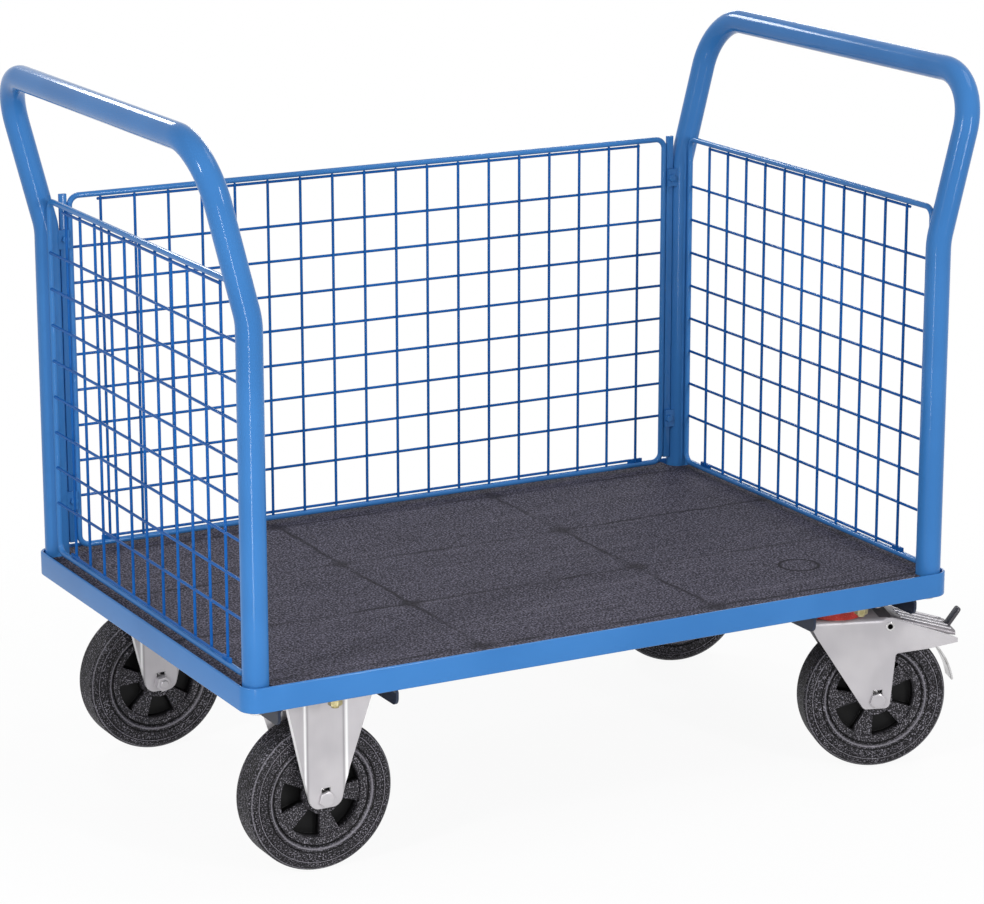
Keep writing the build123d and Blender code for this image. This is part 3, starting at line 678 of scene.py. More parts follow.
@dataclass(frozen=True)
class FilmBoard(Finish):
    """Plywood faced with dark anti-slip film: matt, speckled by its pressed grit, paler where rubbing has scuffed it.

    Rows of boxes have left faint darker lines between them, and one round foot has left a ring. Sizes are in
    metres.
    """

    cell: Pair = (0.347, 0.205)
    start: Pair = (0.1715, 0.1065)
    depth: float = 10.0
    wander: float = 0.016
    tight_corner: float = 0.016
    wide_corner: float = 0.035
    ring_at: Pair = (0.368, -0.213)
    ring_radius: float = 0.027

    def sockets(self, tree: Tree) -> dict:
        """Grit of 2.6 mm over clouds of 55 mm scuffed by rubbing and streaks of 16 mm, under the marks.

        Args:
            tree: Node tree to add to.

        Returns:
            What the shader's inputs get.
        """
        grit = noise(tree, 2.6, detail=3.0)
        colour = self.tones(tree, patches(tree, 55.0, (0.35, 0.72), stretch=(0.35, 1, 1), detail=4.0))
        streak = patches(tree, 16.0, (0.56, 0.76), (0.0, 0.6), (0.06, 1, 1), 3.0)
        speck = add_node(tree, "MapRange", {0: grit, 1: 0.50, 2: 0.64}, **SOFT)
        pit = add_node(tree, "MapRange", {0: grit, 1: 0.48, 2: 0.38}, **SOFT)
        layers = ((streak, "#64616D"), (speck, "#747180"), (pit, "#161419"), (self.marks(tree), "#17151A"))
        for share, tone in layers:
            colour = add_node(tree, "Mix", {0: share, 6: colour, 7: tone}, **COLOURS)
        return {"Base Color": colour,
                "Roughness": 0.72,
                "Specular IOR Level": 0.08,
                "Normal": add_node(tree, "Bump", {"Height": grit, "Distance": 0.5 * MM, "Strength": 0.5})}

    def past_box(self, tree: Tree, folded: Socket, corner: float, limits: Pair, strength: float) -> Socket:
        """Darken a cell past a box with rounded corners.

        The distance past the box's straight part is the length of the positive part of the offset from it.

        Args:
            tree: Node tree to add to.
            folded: Place in the cell, as positive distances from its middle.
            corner: Radius of the box's corners, which ends at the cell's edge.
            limits: Distances where the dark starts and is full.
            strength: How dark it gets.

        Returns:
            The strength's socket.
        """
        straight = (*(size / 2 - corner for size in self.cell), self.depth)
        steps = (("SUBTRACT", {1: straight}, 0), ("MAXIMUM", {1: (0, 0, 0)}, 0), ("LENGTH", {}, 1))
        for operation, inputs, output in steps:
            folded = add_node(tree, "VectorMath", {0: folded, **inputs}, output, operation=operation)
        return add_node(tree, "MapRange", {0: folded, 1: limits[0], 2: limits[1], 4: strength}, **SOFT)

    def marks(self, tree: Tree) -> Socket:
        """Darker lines between rounded boxes, soft stars where four of them meet, and the ring, on top only.

        Places that wander a little are wrapped into cells and folded about the cell's middle. A line starts
        near the edge of a box with tight corners, and a star near that of a box with wide corners.

        Args:
            tree: Node tree to add to.

        Returns:
            The marks' strength socket.
        """
        place = add_node(tree, "TexCoord", output="Object")
        middle = (*(size / 2 for size in self.cell), self.depth / 2)
        steps = (("MULTIPLY", {1: (self.wander,) * 3}), ("ADD", {1: place}), ("ADD", {1: (*self.start, 0)}),
                 ("WRAP", {1: (0, 0, 0), 2: (*self.cell, self.depth)}), ("SUBTRACT", {1: middle}),
                 ("ABSOLUTE", {}))
        folded = noise(tree, 70.0, output=1)
        for operation, inputs in steps:
            folded = add_node(tree, "VectorMath", {0: folded, **inputs}, operation=operation)
        seam = self.past_box(tree, folded, self.tight_corner, (0.0115, 0.0150), 0.80)
        star = self.past_box(tree, folded, self.wide_corner, (0.0270, 0.0450), 0.70)
        level = add_node(tree, "VectorMath", {0: place, 1: (1, 1, 0)}, operation="MULTIPLY")
        away = add_node(tree, "VectorMath", {0: level, 1: (*self.ring_at, 0)}, 1, operation="DISTANCE")
        off = add_node(tree, "Math", {0: away, 1: self.ring_radius}, operation="SUBTRACT")
        gap = add_node(tree, "Math", {0: off}, operation="ABSOLUTE")
        ring = add_node(tree, "MapRange", {0: gap, 1: 0.0035, 2: 0.0012, 4: 0.95}, **SOFT)
        upward = add_node(tree, "SeparateXYZ", {0: add_node(tree, "TexCoord", output="Normal")}, "Z")
        on_top = add_node(tree, "MapRange", {0: upward, 1: 0.3, 2: 0.6}, **SOFT)
        fading = patches(tree, 110.0, (0.35, 0.60), (0.30, 1.0))
        marks = seam
        for operation, other in (("MULTIPLY", fading), ("MAXIMUM", star), ("MAXIMUM", ring), ("MULTIPLY", on_top)):
            marks = add_node(tree, "Math", {0: marks, 1: other}, operation=operation)
        return marks


class ZincSheet(Finish):
    """Bright zinc plating on pressed steel sheet: pale, satin, faintly clouded and drawn along the press."""

    def sockets(self, tree: Tree) -> dict:
        """Clouds of 60 mm, painted grey shade in creases and painted highlights on ridges, upright draw lines of 1.5 mm
        in the gloss.

        Args:
            tree: Node tree to add to.

        Returns:
            What the shader's inputs get.
        """
        drawn = noise(tree, 1.5, (1, 1, 0.06), 1.0)
        clouded = self.tones(tree, patches(tree, 60.0, (0.30, 0.75)))
        # 4A484C is painted shade in the folds' creases, #FAFAFA a painted highlight on their ridges.
        return {"Base Color": shade_and_highlight(tree, clouded, "#4A484C", "#FAFAFA"),
                "Metallic": 0.40,
                "Roughness": add_node(tree, "MapRange", {0: drawn, 1: 0.3, 2: 0.7, 3: 0.34, 4: 0.46}, **SOFT),
                "Normal": add_node(tree, "Bump", {"Height": drawn, "Distance": 0.05 * MM, "Strength": 0.15})}


class YellowZinc(Finish):
    """Yellow chromate over zinc plating: brassy, with a weak rainbow tint from bolt to bolt."""

    def sockets(self, tree: Tree) -> dict:
        """Tint clouds of 6 mm, satin gloss."""
        tinted = self.tones(tree, patches(tree, 6.0, (0.35, 0.65)))
        return {"Base Color": tinted, "Metallic": 1.0, "Roughness": 0.34}


class TurnedSteel(Finish):
    """Bright turned or ground steel: grey mirror with fine marks."""

    def sockets(self, tree: Tree) -> dict:
        """Marks of 0.8 mm in the gloss, light grime clouds of 12 mm, painted black shade in hollows.

        Args:
            tree: Node tree to add to.

        Returns:
            What the shader's inputs get.
        """
        grimy = self.tones(tree, patches(tree, 12.0, (0.40, 0.75)))
        # 060607 is painted shade in the rivet's dimples.
        return {"Base Color": shade_and_highlight(tree, grimy, "#060607", self.colour),
                "Metallic": 1.0,
                "Roughness": patches(tree, 0.8, (0.3, 0.7), (0.22, 0.36), detail=1.0)}


class TyreRubber(Finish):
    """Moulded solid rubber: dark grey, matt, with a pale bloom of grit on its rough skin."""

    def sockets(self, tree: Tree) -> dict:
        """Dense grit of 1.9 mm, thinned a little by dusty clouds of 30 mm, painted black shade in the mould lines,
        painted highlights on the beads.

        Args:
            tree: Node tree to add to.

        Returns:
            What the shader's inputs get.
        """
        grit = noise(tree, 1.9, detail=3.0)
        dust = patches(tree, 30.0, (0.35, 0.70), (0.55, 1.0))
        speck = add_node(tree, "MapRange", {0: grit, 1: 0.51, 2: 0.64}, **SOFT)
        rough = self.tones(tree, add_node(tree, "Math", {0: speck, 1: dust}, operation="MULTIPLY"))
        # 040405 is painted shade in grooves and lines, #9A97A0 a painted highlight on the bead and ridges.
        return {"Base Color": shade_and_highlight(tree, rough, "#040405", "#9A97A0"),
                "Roughness": add_node(tree, "MapRange", {0: grit, 1: 0.3, 2: 0.7, 3: 0.40, 4: 0.62}, **SOFT),
                "Specular IOR Level": 0.18,
                "Normal": add_node(tree, "Bump", {"Height": grit, "Distance": 0.35 * MM, "Strength": 0.5})}


class MouldedPlastic(Finish):
    """Injection-moulded polymer: even colour, half gloss and a fine eroded texture."""

    def sockets(self, tree: Tree) -> dict:
        """Texture of 1.8 mm with pale scuffs, painted near black shade in deep hollows and painted highlights on the
        spokes' edges.

        Args:
            tree: Node tree to add to.

        Returns:
            What the shader's inputs get.
        """
        grain = noise(tree, 1.8, detail=3.0)
        scuffed = self.tones(tree, add_node(tree, "MapRange", {0: grain, 1: 0.51, 2: 0.66}, **SOFT))
        # 060607 is painted shade in the pockets, #B4B1B9 a painted highlight on the spokes' edges.
        return {"Base Color": shade_and_highlight(tree, scuffed, "#060607", "#B4B1B9"),
                "Roughness": 0.45,
                "Specular IOR Level": 0.18,
                "Normal": add_node(tree, "Bump", {"Height": grain, "Distance": 0.2 * MM, "Strength": 0.35})}


PAINT = PowderCoat("blue_powder_coat", Slot.PAINT, "#3D7ABB", "#3874B4")
# Darker copy of the blue coat for the thin mesh wires: painted shade.
WIRE = PowderCoat("shaded_blue_coat_on_wire", Slot.PAINT, "#1C5FAA", "#17549B", 0.05)
# Darker copy of the blue coat for the channels under the deck: painted shade.
DARK = PowderCoat("shaded_blue_powder_coat", Slot.DARK, "#343B4C", "#2C3240")
BOARD = FilmBoard("anti_slip_film_board", Slot.BOARD, "#36343F", "#403E4A")
ZINC = ZincSheet("bright_zinc_sheet", Slot.ZINC, "#BEBBBE", "#AEABAF")
# Near white finish for the sheets' cut edges: painted highlight.
EDGE_HIGHLIGHT = ZincSheet("highlighted_zinc_edge", Slot.ZINC, "#F2F1F2", "#E4E3E5")
# Darker copy of the zinc finish for the pedal: painted shade.
PEDAL = ZincSheet("shaded_zinc_sheet", Slot.ZINC, "#858185", "#736F73")
# Dark grey copy of the zinc finish for the release tab.
TAB = ZincSheet("dark_grey_zinc_sheet", Slot.ZINC, "#4E4C51", "#403E43")
YELLOW = YellowZinc("yellow_chromate_zinc", Slot.YELLOW, "#B3AB86", "#978D66")
STEEL = TurnedSteel("turned_steel", Slot.STEEL, "#CBCACB", "#A9A7A6")
RUBBER = TyreRubber("moulded_tyre_rubber", Slot.RUBBER, "#111013", "#86838C")
PLASTIC = MouldedPlastic("black_moulded_polypropylene", Slot.PLASTIC, "#1E1D20", "#86838B")
SEAL = MouldedPlastic("red_moulded_nylon", Slot.SEAL, "#A32E2A", "#B64C44")


# Pieces

def add_piece(name: str, shell: Shell, finish: Finish, node: str = "", body: str = "platform", sheet: float = 0.0,
              bevel: float = 0.0, sharp: float = 38.0, cut: Optional[Finish] = None) -> None:
    """Put a shell in the scene as one piece: merged, dressed, riding on its body.

    Args:
        name: Name of the piece.
        shell: Its surface, in millimetres.
        finish: Its finish.
        node: CAD node that it stands for, where there is one.
        body: The CAD body that it moves with.
        sheet: Thickness of an open sheet, in millimetres.
        bevel: Width of its broken edges, in millimetres.
        sharp: Angle over which an edge stays sharp, in degrees.
        cut: Finish of a sheet's cut edges, where it differs.
    """
    mesh = bpy.data.meshes.new(name)
    mesh.from_pydata((shell.points * MM).tolist(), [], shell.faces)
    # Store each point's share of painted shade and highlight for the shader.
    if shell.painted_shading is not None:
        mesh.attributes.new("painted_shading", "FLOAT", "POINT").data.foreach_set("value", shell.painted_shading)
    work = bmesh.new()
    work.from_mesh(mesh)
    bmesh.ops.remove_doubles(work, verts=work.verts, dist=0.002 * MM)
    bmesh.ops.dissolve_degenerate(work, edges=work.edges, dist=0.001 * MM)
    bmesh.ops.recalc_face_normals(work, faces=work.faces)
    work.to_mesh(mesh)
    work.free()
    mesh.polygons.foreach_set("use_smooth", np.ones(len(mesh.polygons), dtype=bool))
    mesh.set_sharp_from_angle(angle=math.radians(sharp))
    piece = bpy.data.objects.new(name, mesh)
    bpy.context.scene.collection.objects.link(piece)
    if sheet:
        solid = piece.modifiers.new("sheet", "SOLIDIFY")
        solid.thickness, solid.offset, solid.use_even_offset = sheet * MM, 0.0, True
        solid.material_offset_rim = 1 if cut else 0
    if bevel:
        edge = piece.modifiers.new("edge", "BEVEL")
        edge.width, edge.segments, edge.angle_limit = bevel * MM, 2, math.radians(sharp)
        edge.harden_normals = True
    for dress in (finish, cut):
        if dress:
            mesh.materials.append(dress.material())
    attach(piece, body)
    if node:
        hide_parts(node)
    log.info("%s: %d points, %s, on %s", name, len(mesh.vertices), finish.name, body)


def dress_node(node: str, finish: Finish) -> None:
    """Give a CAD node whose shape is right its finish.

    Args:
        node: The CAD node.
        finish: Its finish.
    """
    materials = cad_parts[node].data.materials
    materials.clear()
    materials.append(finish.material())
    log.info("%s: CAD node, %s", node, finish.name)


@dataclass
class Deck:
    """Angle frame round the anti-slip board, with the cross channels under it."""

    length: float = 1050.0
    width: float = 700.0
    rail_low: float = 247.0
    rail_top: float = 280.0
    rail_wall: float = 4.0
    ledge_width: float = 36.0
    ledge_top: float = 251.0
    rail_rounds: tuple[float, ...] = (2.0, 1.7, 1.7, 2.5, 1.0, 1.0)
    corner: float = 23.0
    channel_half: float = 81.5
    channel_low: float = 222.0
    channel_end: float = 338.0
    channel_corner: float = 10.0
    channel_bend: float = 6.0
    least_flange: float = 7.0
    sheet: float = 4.0

    def frame_ring(self) -> Shell:
        """Carry the angle section round the rounded rectangle.

        At a depth d inside the outer face, the rectangle is d smaller on each side and its corner radius is
        the frame's own less d, or 0 past that.

        Returns:
            The closed ring.
        """
        section = rounded([(0, self.rail_low), (0, self.rail_top), (self.rail_wall, self.rail_top),
                           (self.rail_wall, self.ledge_top), (self.ledge_width, self.ledge_top),
                           (self.ledge_width, self.rail_low)], self.rail_rounds, 6)
        depth, height = section.T
        radius = np.maximum(self.corner - depth, 0)
        quarter = np.linspace(0, RIGHT_ANGLE, 14)
        a = (quarter + np.arange(4)[:, None] * RIGHT_ANGLE).reshape(-1, 1)
        sign_x, sign_y = np.repeat([(1, -1, -1, 1), (1, 1, -1, -1)], len(quarter), axis=1)[:, :, None]
        x = sign_x * (self.length / 2 - depth - radius) + radius * np.cos(a)
        y = sign_y * (self.width / 2 - depth - radius) + radius * np.sin(a)
        return Shell.grid(spots(x, y, height), True, True)

    def channel(self, end: End) -> Shell:
        """Folded channel along Y, the lower corners of its flanges rounded.

        Near an end the lower edge rises by R - sqrt(R squared - (R - distance to the end) squared).

        Args:
            end: End of the trolley.

        Returns:
            The open sheet.
        """
        near = np.linspace(0, self.channel_corner, 8)
        along = np.concatenate([near - self.channel_end, self.channel_end - near[::-1]])
        short = self.channel_corner - np.minimum(self.channel_end - np.abs(along), self.channel_corner)
        low = self.channel_low + self.channel_corner - np.sqrt(self.channel_corner ** 2 - short ** 2)
        top = np.full_like(along, self.rail_low - self.sheet / 2)
        low = np.minimum(low, top - self.least_flange)
        place = Place((end.value * LAYOUT.caster_at[0], 0, 0), ((0, 1, 0), (1, 0, 0), (0, 0, 1)))
        return place.put(folded_sheet(along, low, top, self.channel_half, self.channel_bend))

    def build(self) -> None:
        """Build the frame and the channels, and dress the board."""
        add_piece("rail_ring", self.frame_ring(), PAINT, "deck_frame")
        for end in End:
            name = end.name.lower()
            # The channels wear the darker blue copy, painted shade under the deck.
            add_piece(f"{name}_cross_channel", self.channel(end), DARK, f"{name}_channel", sheet=self.sheet,
                      bevel=BROKEN)
        dress_node("deck_board", BOARD)


@dataclass
class PushBar:
    """Bent tube handle at one end: two posts, a lean outwards and a crossbar."""

    end: End
    foot: float = 251.0
    knee: float = 735.5
    rise: float = 216.5
    lean: float = 14.3
    radius: float = 16.85
    knee_radius: float = 100.0
    corner_radius: float = 75.0

    def path(self) -> Array:
        """Centre line from the front foot over the crossbar to the back foot, with round bends.

        Returns:
            Points of the line.
        """
        x, y = LAYOUT.post_at
        out = x + self.rise * slope(self.lean)
        front = np.array([(x, -y, self.foot), (x, -y, self.knee), (out, -y, self.knee + self.rise)])
        corners = np.vstack([front, front[::-1] * (1, -1, 1)]) * (self.end.value, 1, 1)
        radii = [0, self.knee_radius, self.corner_radius]
        return rounded(corners, radii + radii[::-1], 20)

    def build(self) -> None:
        """Build the tube."""
        name = self.end.name.lower()
        c, s = cos_sin(self.lean)
        shell = tube(self.path(), self.radius, 48, (c * self.end.value, 0, -s))
        add_piece(f"{name}_handle_tube", shell, PAINT, f"{name}_push_bar")


@dataclass
class MeshWall:
    """Welded wire wall: a closed border wire, uprights inside and rows outside."""

    name: str
    place: Place
    half: float
    uprights: int
    low: float = 280.0
    top: float = 780.0
    border: float = 4.0
    wire: float = 2.0
    corner: float = 14.0
    pitch: float = 50.0
    rows: int = 8
    row_past: float = 0.5
    edge_row: float = 7.5
    offset: float = 1.5
    tab: Pair = (12.0, 2.0)

    def border_wire(self) -> Shell:
        """Wire along a rounded rectangle that stands in the local X-Z plane.

        Returns:
            The closed shell.
        """
        low, top = self.low + self.border, self.top - self.border
        x, z = box_outline((-self.half, low), (self.half, top), [self.corner] * 4, 14).T
        return tube(spots(x, 0.0, z), self.border, 20, (0, 1, 0), closed=True)

    def mesh_wires(self) -> Shell:
        """Uprights and rows as straight wires at an even pitch about the middle, with the weld tabs.

        Returns:
            One shell with all of them.
        """
        places = evenly(self.uprights, self.pitch)
        low, top = self.low + 2 * self.border, self.top - 2 * self.border
        edge = (self.top - self.low) / 2 - self.border - self.edge_row
        heights = (self.low + self.top) / 2 + np.concatenate([evenly(self.rows, self.pitch), [-edge, edge]])
        reach = np.array([self.half + self.row_past] * self.rows + [places[-1] + 2 * self.wire] * 2)
        starts = np.vstack([spots(places, -self.offset, low), spots(-reach, self.offset, heights)])
        ends = np.vstack([spots(places, -self.offset, top), spots(reach, self.offset, heights)])
        tabs = [self.weld_tab(places[end]) for end in (0, -1)]
        return Shell.joined([wires(starts, ends, self.wire, 12), *tabs])

    def weld_tab(self, x: float) -> Shell:
        """Small plate that ties the lower edge row to the border at an upright.

        Args:
            x: Place of the upright.

        Returns:
            The closed shell.
        """
        half, thick = self.tab
        outline = box_outline((x - half, -thick), (x + half, thick), [0.8] * 4, 3)
        middle = self.low + self.border
        return plate(outline, middle, middle + self.edge_row + self.wire, 0.5)

    def build(self) -> None:
        """Build the border and the mesh."""
        name = self.name
        add_piece(f"{name}_wall_border", self.place.put(self.border_wire()), PAINT, f"{name}_border_wire")
        # The mesh wires wear the darker blue copy, painted shade.
        add_piece(f"{name}_wall_mesh", self.place.put(self.mesh_wires()), WIRE, f"{name}_mesh")


@dataclass
class BackWallFixing:
    """Flat strips at the ends of the back wall with their brackets and screws."""

    inner: float = 474.05
    outer: float = 485.05
    thickness: float = 5.0
    low: float = 290.0
    top: float = 780.0
    bracket: float = 5.0
    screw: Pair = (9.6, 3.84)
    heights: Pair = (351.0, 718.5)

    def strip(self, end: End) -> Shell:
        """Upright strip with broken edges.

        Args:
            end: End of the trolley.

        Returns:
            The closed shell.
        """
        left, right = sorted((end.value * self.inner, end.value * self.outer))
        y, half = LAYOUT.back_wall_y, self.thickness / 2
        outline = box_outline((left, y - half), (right, y + half), [1.0] * 4, 4)
        return plate(outline, self.low, self.top, BROKEN)

    def screws(self) -> Shell:
        """Hexagon heads on the brackets.

        Returns:
            One shell with all of them.
        """
        y = LAYOUT.back_wall_y - self.thickness / 2 - self.bracket
        x = (self.inner + self.outer) / 2
        places = [(end.value * x, y, z) for end in End for z in self.heights]
        return Shell.joined([ROOM.seat(place, (0, -1, 0), hex_prism(*self.screw)) for place in places])

    def build(self) -> None:
        """Build strips and screws, and dress the brackets."""
        add_piece("back_wall_strips", Shell.joined([self.strip(end) for end in End]), PAINT, "wall_strips")
        add_piece("bracket_screws", self.screws(), PAINT, "bracket_bolts")
        dress_node("wall_brackets", PAINT)


@dataclass
class Wheel:
    """Solid rubber tyre on a moulded rim with five deep pockets on each side."""

    name: str
    place: Place
    spin: float
    radius: float = 100.0
    half: float = 25.0
    shoulder: float = 9.0
    seat: float = 66.0
    seat_half: float = 22.0
    ring: float = 10.0
    bead: float = 70.6
    bead_height: float = 1.2
    grooves: Pair = (66.9, 75.4)
    groove_depth: float = 1.4
    groove_width: float = 0.9
    mould_lines: Pair = (86.8, 89.4)
    line_width: float = 0.5
    shoulder_lines: Pair = (0.5, 1.0)
    shoulder_depth: float = 0.7
    tread_grooves: tuple[float, ...] = (0.0, 4.5, 9.0, 13.5)
    tread_depth: float = 0.8
    hub: float = 23.0
    hub_half: float = 29.0
    bore: float = 14.0
    disc: float = 5.0
    spokes: int = 5
    spoke_angle: float = 15.0
    spoke_half: float = 17.0
    steps: int = 144

    def turn(self, shell: Shell) -> Shell:
        """Lay a shell made about Z on the wheel's axle, turned by its spin.

        Args:
            shell: The shell.

        Returns:
            The shell in the trolley's frame.
        """
        c, s = cos_sin(self.spin)
        lying = shell.points @ np.array([(c, 0, s), (s, 0, -c), (0, 1, 0)], float)
        return self.place.put(Shell(lying, shell.faces, shell.painted_shading))

    def tyre(self) -> Shell:
        """Turn the tyre's section about the axle.

        The side runs out from the rim seat by a soft step and carries a bead, two grooves and two mould
        lines, each a bell in the radius. The shoulder is a quarter circle with two lines, bells in the angle.
        The tread has shallow grooves, bells in the width. Grooves and lines get painted shade; the bead and the
        ridges between lines get painted highlights.

        Returns:
            The closed shell.
        """
        r = np.linspace(self.seat, self.radius - self.shoulder, 84)
        cut = bells(r, self.groove_width, *self.grooves) + 0.6 * bells(r, self.line_width, *self.mould_lines)
        side = self.seat_half + (self.half - self.seat_half) * smooth_step(self.seat + 1, self.seat + 8, r)
        side += self.bead_height * bells(r, 1.3, self.bead) - self.groove_depth * cut
        a = np.linspace(0, RIGHT_ANGLE, 20)[1:]
        line = self.shoulder_depth * bells(a, 0.06, *self.shoulder_lines)
        arc_r = self.radius - self.shoulder + self.shoulder * np.sin(a) - line
        curve = self.half - self.shoulder
        h = np.linspace(curve, 0, 44)[1:]
        groove = bells(h, 0.6, *self.tread_grooves)
        half = np.vstack([np.column_stack([r, side]), np.column_stack([arc_r, curve + self.shoulder * np.cos(a)]),
                          np.column_stack([self.radius - self.tread_depth * groove, h])])
        # Painted highlights on the bead and between the lines; with the painted shade in grooves and lines they make
        # each point's shading.
        painted_highlight = 0.55 * bells(r, 1.2, self.bead) + 0.5 * bells(r, self.line_width, sum(self.mould_lines) / 2)
        ridge = 0.5 * bells(a, 0.08, sum(self.shoulder_lines) / 2)
        depth = np.concatenate([cut - painted_highlight, line - ridge, 0.7 * groove])
        shell = turned(np.vstack([half, half[-2::-1] * (1, -1)]), self.steps)
        shell.painted_shading = np.tile(np.clip(np.concatenate([depth, depth[-2::-1]]), -1, 1), self.steps)
        return self.turn(shell)

    def rim(self) -> Shell:
        """Height field of the rim's face over radius and angle, used for both sides.

        Between hub and ring the face lies on the disc in the pockets and on the spokes between them. Soft
        steps over about a millimetre join hub, spokes, pockets and ring, and radii and angles lie closest
        there. Pockets and the edge at the tyre get painted near black shade, the spokes' edges a painted highlight.

        Returns:
            The closed shell, a loop over the front, round the seat, over the back and through the bore.
        """
        hub, inner, seat = self.hub, self.seat - self.ring, self.seat
        r = np.concatenate([[self.bore, self.bore + 0.8, hub - 0.9], np.linspace(hub - 0.5, hub + 1.5, 8),
                            np.linspace(hub + 4, inner - 4, 7), np.linspace(inner - 1.5, inner + 1.2, 9),
                            np.linspace(inner + 3.4, inner + 5.4, 6), [seat - 0.9, seat - 0.3, seat]])
        half_cell = 180 / self.spokes
        edge = self.spoke_angle + np.linspace(-1.6, 1.6, 11)
        offsets = np.concatenate([[0, 6, 11], edge, [20, 26, 31]])
        offsets = np.concatenate([-offsets[:0:-1], offsets, [half_cell]])
        a = (offsets + np.arange(self.spokes)[:, None] * 2 * half_cell).reshape(-1, 1)
        away = np.abs((a + half_cell) % (2 * half_cell) - half_cell)
        on_spoke = smooth_step(self.spoke_angle + 1.1, self.spoke_angle - 1.1, away)
        web = self.disc + (self.spoke_half - self.disc) * on_spoke
        on_hub = smooth_step(hub + 0.9, hub - 0.3, r)
        on_ring = smooth_step(inner - 0.9, inner + 0.6, r)
        between = 1 - on_hub - on_ring
        hub_face = self.hub_half - 0.8 * smooth_step(self.bore + 0.8, self.bore, r)
        face = self.seat_half - 1.3 * smooth_step(inner + 5.2, inner + 3.6, r)
        face -= 0.8 * smooth_step(seat - 0.9, seat, r)
        height = on_hub * hub_face + on_ring * face + between * web
        front = about_axis(r, np.radians(a), height)
        shell = Shell.grid(np.concatenate([front, front[:, ::-1] * (1, 1, -1)], axis=1), True, True)
        # Painted near black shade in the pockets and at the tyre's edge, painted highlights along the spokes' edges.
        pocket_shading = smooth_step(self.spoke_half - 0.5, self.spoke_half - 6, height)
        pocket_shading -= 0.6 * between * bells(away, 0.5, self.spoke_angle - 1.2)
        pocket_shading = np.maximum(pocket_shading, smooth_step(seat - 1.0, seat - 0.3, r))
        shell.painted_shading = np.hstack([pocket_shading, pocket_shading[:, ::-1]]).ravel()
        return self.turn(shell)

    def build(self) -> None:
        """Build tyre and rim, and dress the bearing."""
        name, body = self.name, f"{self.name}_wheel"
        add_piece(f"{name}_tyre_tread", self.tyre(), RUBBER, f"{name}_tyre", body, sharp=70)
        add_piece(f"{name}_wheel_centre", self.rim(), PLASTIC, f"{name}_rim", body, sharp=30)
        dress_node(f"{name}_bearing", STEEL)


@dataclass
class FixedFork:
    """Top plate with two tapered legs whose edges fold outwards, each with a notch over the axle."""

    name: str
    place: Place
    leg_top: float = 60.0
    leg_foot: float = 20.0
    foot_z: float = 88.0
    foot_round: float = 10.0
    notch: Pair = (18.5, 27.0)
    notch_half: float = 6.6
    plate_low: float = 237.0
    plate_top: float = 243.0
    plate_half: Pair = (70.0, 55.0)
    plate_corner: float = 8.0
    middle: float = 34.0
    flat: float = 29.0
    fold: float = 26.0
    ridge: float = 0.8
    sheet: float = 4.0

    def leg(self, side: Side) -> Shell:
        """Leg as a sheet over height and share of width.

        Its half width grows evenly from foot to plate, less the round R - sqrt(R squared - (R - rise)
        squared) at the foot. Past the flat face it folds outwards: tan(fold) times a soft ramp, the mean of
        the distance past the fold and that distance's length with a 1 mm floor. A pressed ridge, a bell,
        runs along each fold with a painted highlight on it and painted grey shade in the crease inside it.

        Args:
            side: Side of the wheel.

        Returns:
            The open sheet.
        """
        low, high = self.notch
        rise = np.concatenate([self.foot_round * (1 - np.cos(np.linspace(0, RIGHT_ANGLE, 9))),
                               np.linspace(low, high, 4),
                               np.linspace(30, self.plate_low + 2 - self.foot_z, 40)])[:, None]
        half = self.leg_foot + (self.leg_top - self.leg_foot) * rise / (self.plate_low - self.foot_z)
        short = np.maximum(self.foot_round - rise, 0)
        half -= self.foot_round - np.sqrt(np.maximum(self.foot_round ** 2 - short ** 2, 0))
        x = half * np.linspace(-1, 1, 161)
        past = np.abs(x) - self.flat
        bent = slope(self.fold) * (past + np.hypot(past, 1.0)) / 2
        y = side.value * (self.middle + bent + self.ridge * bells(past, 2.2, 0.0))
        sheet = Shell.grid(spots(x, y, self.foot_z + rise))
        # Painted grey shade in the crease beside each fold and a painted highlight along its ridge.
        sheet.painted_shading = (0.4 * bells(past, 1.5, -3.6) - 0.9 * bells(past, 1.6, 0.4)).ravel()
        return sheet.without((-self.notch_half, -FAR, self.foot_z + low), (self.notch_half, FAR, self.foot_z + high))

    def build(self) -> None:
        """Build the two legs and the plate."""
        legs = self.place.put(Shell.joined([self.leg(side) for side in Side]))
        # The legs' cut edges get the painted highlight.
        add_piece(f"{self.name}_leg_pair", legs, ZINC, f"{self.name}_fork", sheet=self.sheet, bevel=BROKEN, cut=EDGE_HIGHLIGHT)
        x, y = self.plate_half
        outline = box_outline((-x, -y), (x, y), [self.plate_corner] * 4, 8)
        flat = self.place.put(plate(outline, self.plate_low, self.plate_top, BROKEN))
        add_piece(f"{self.name}_top_plate", flat, ZINC)


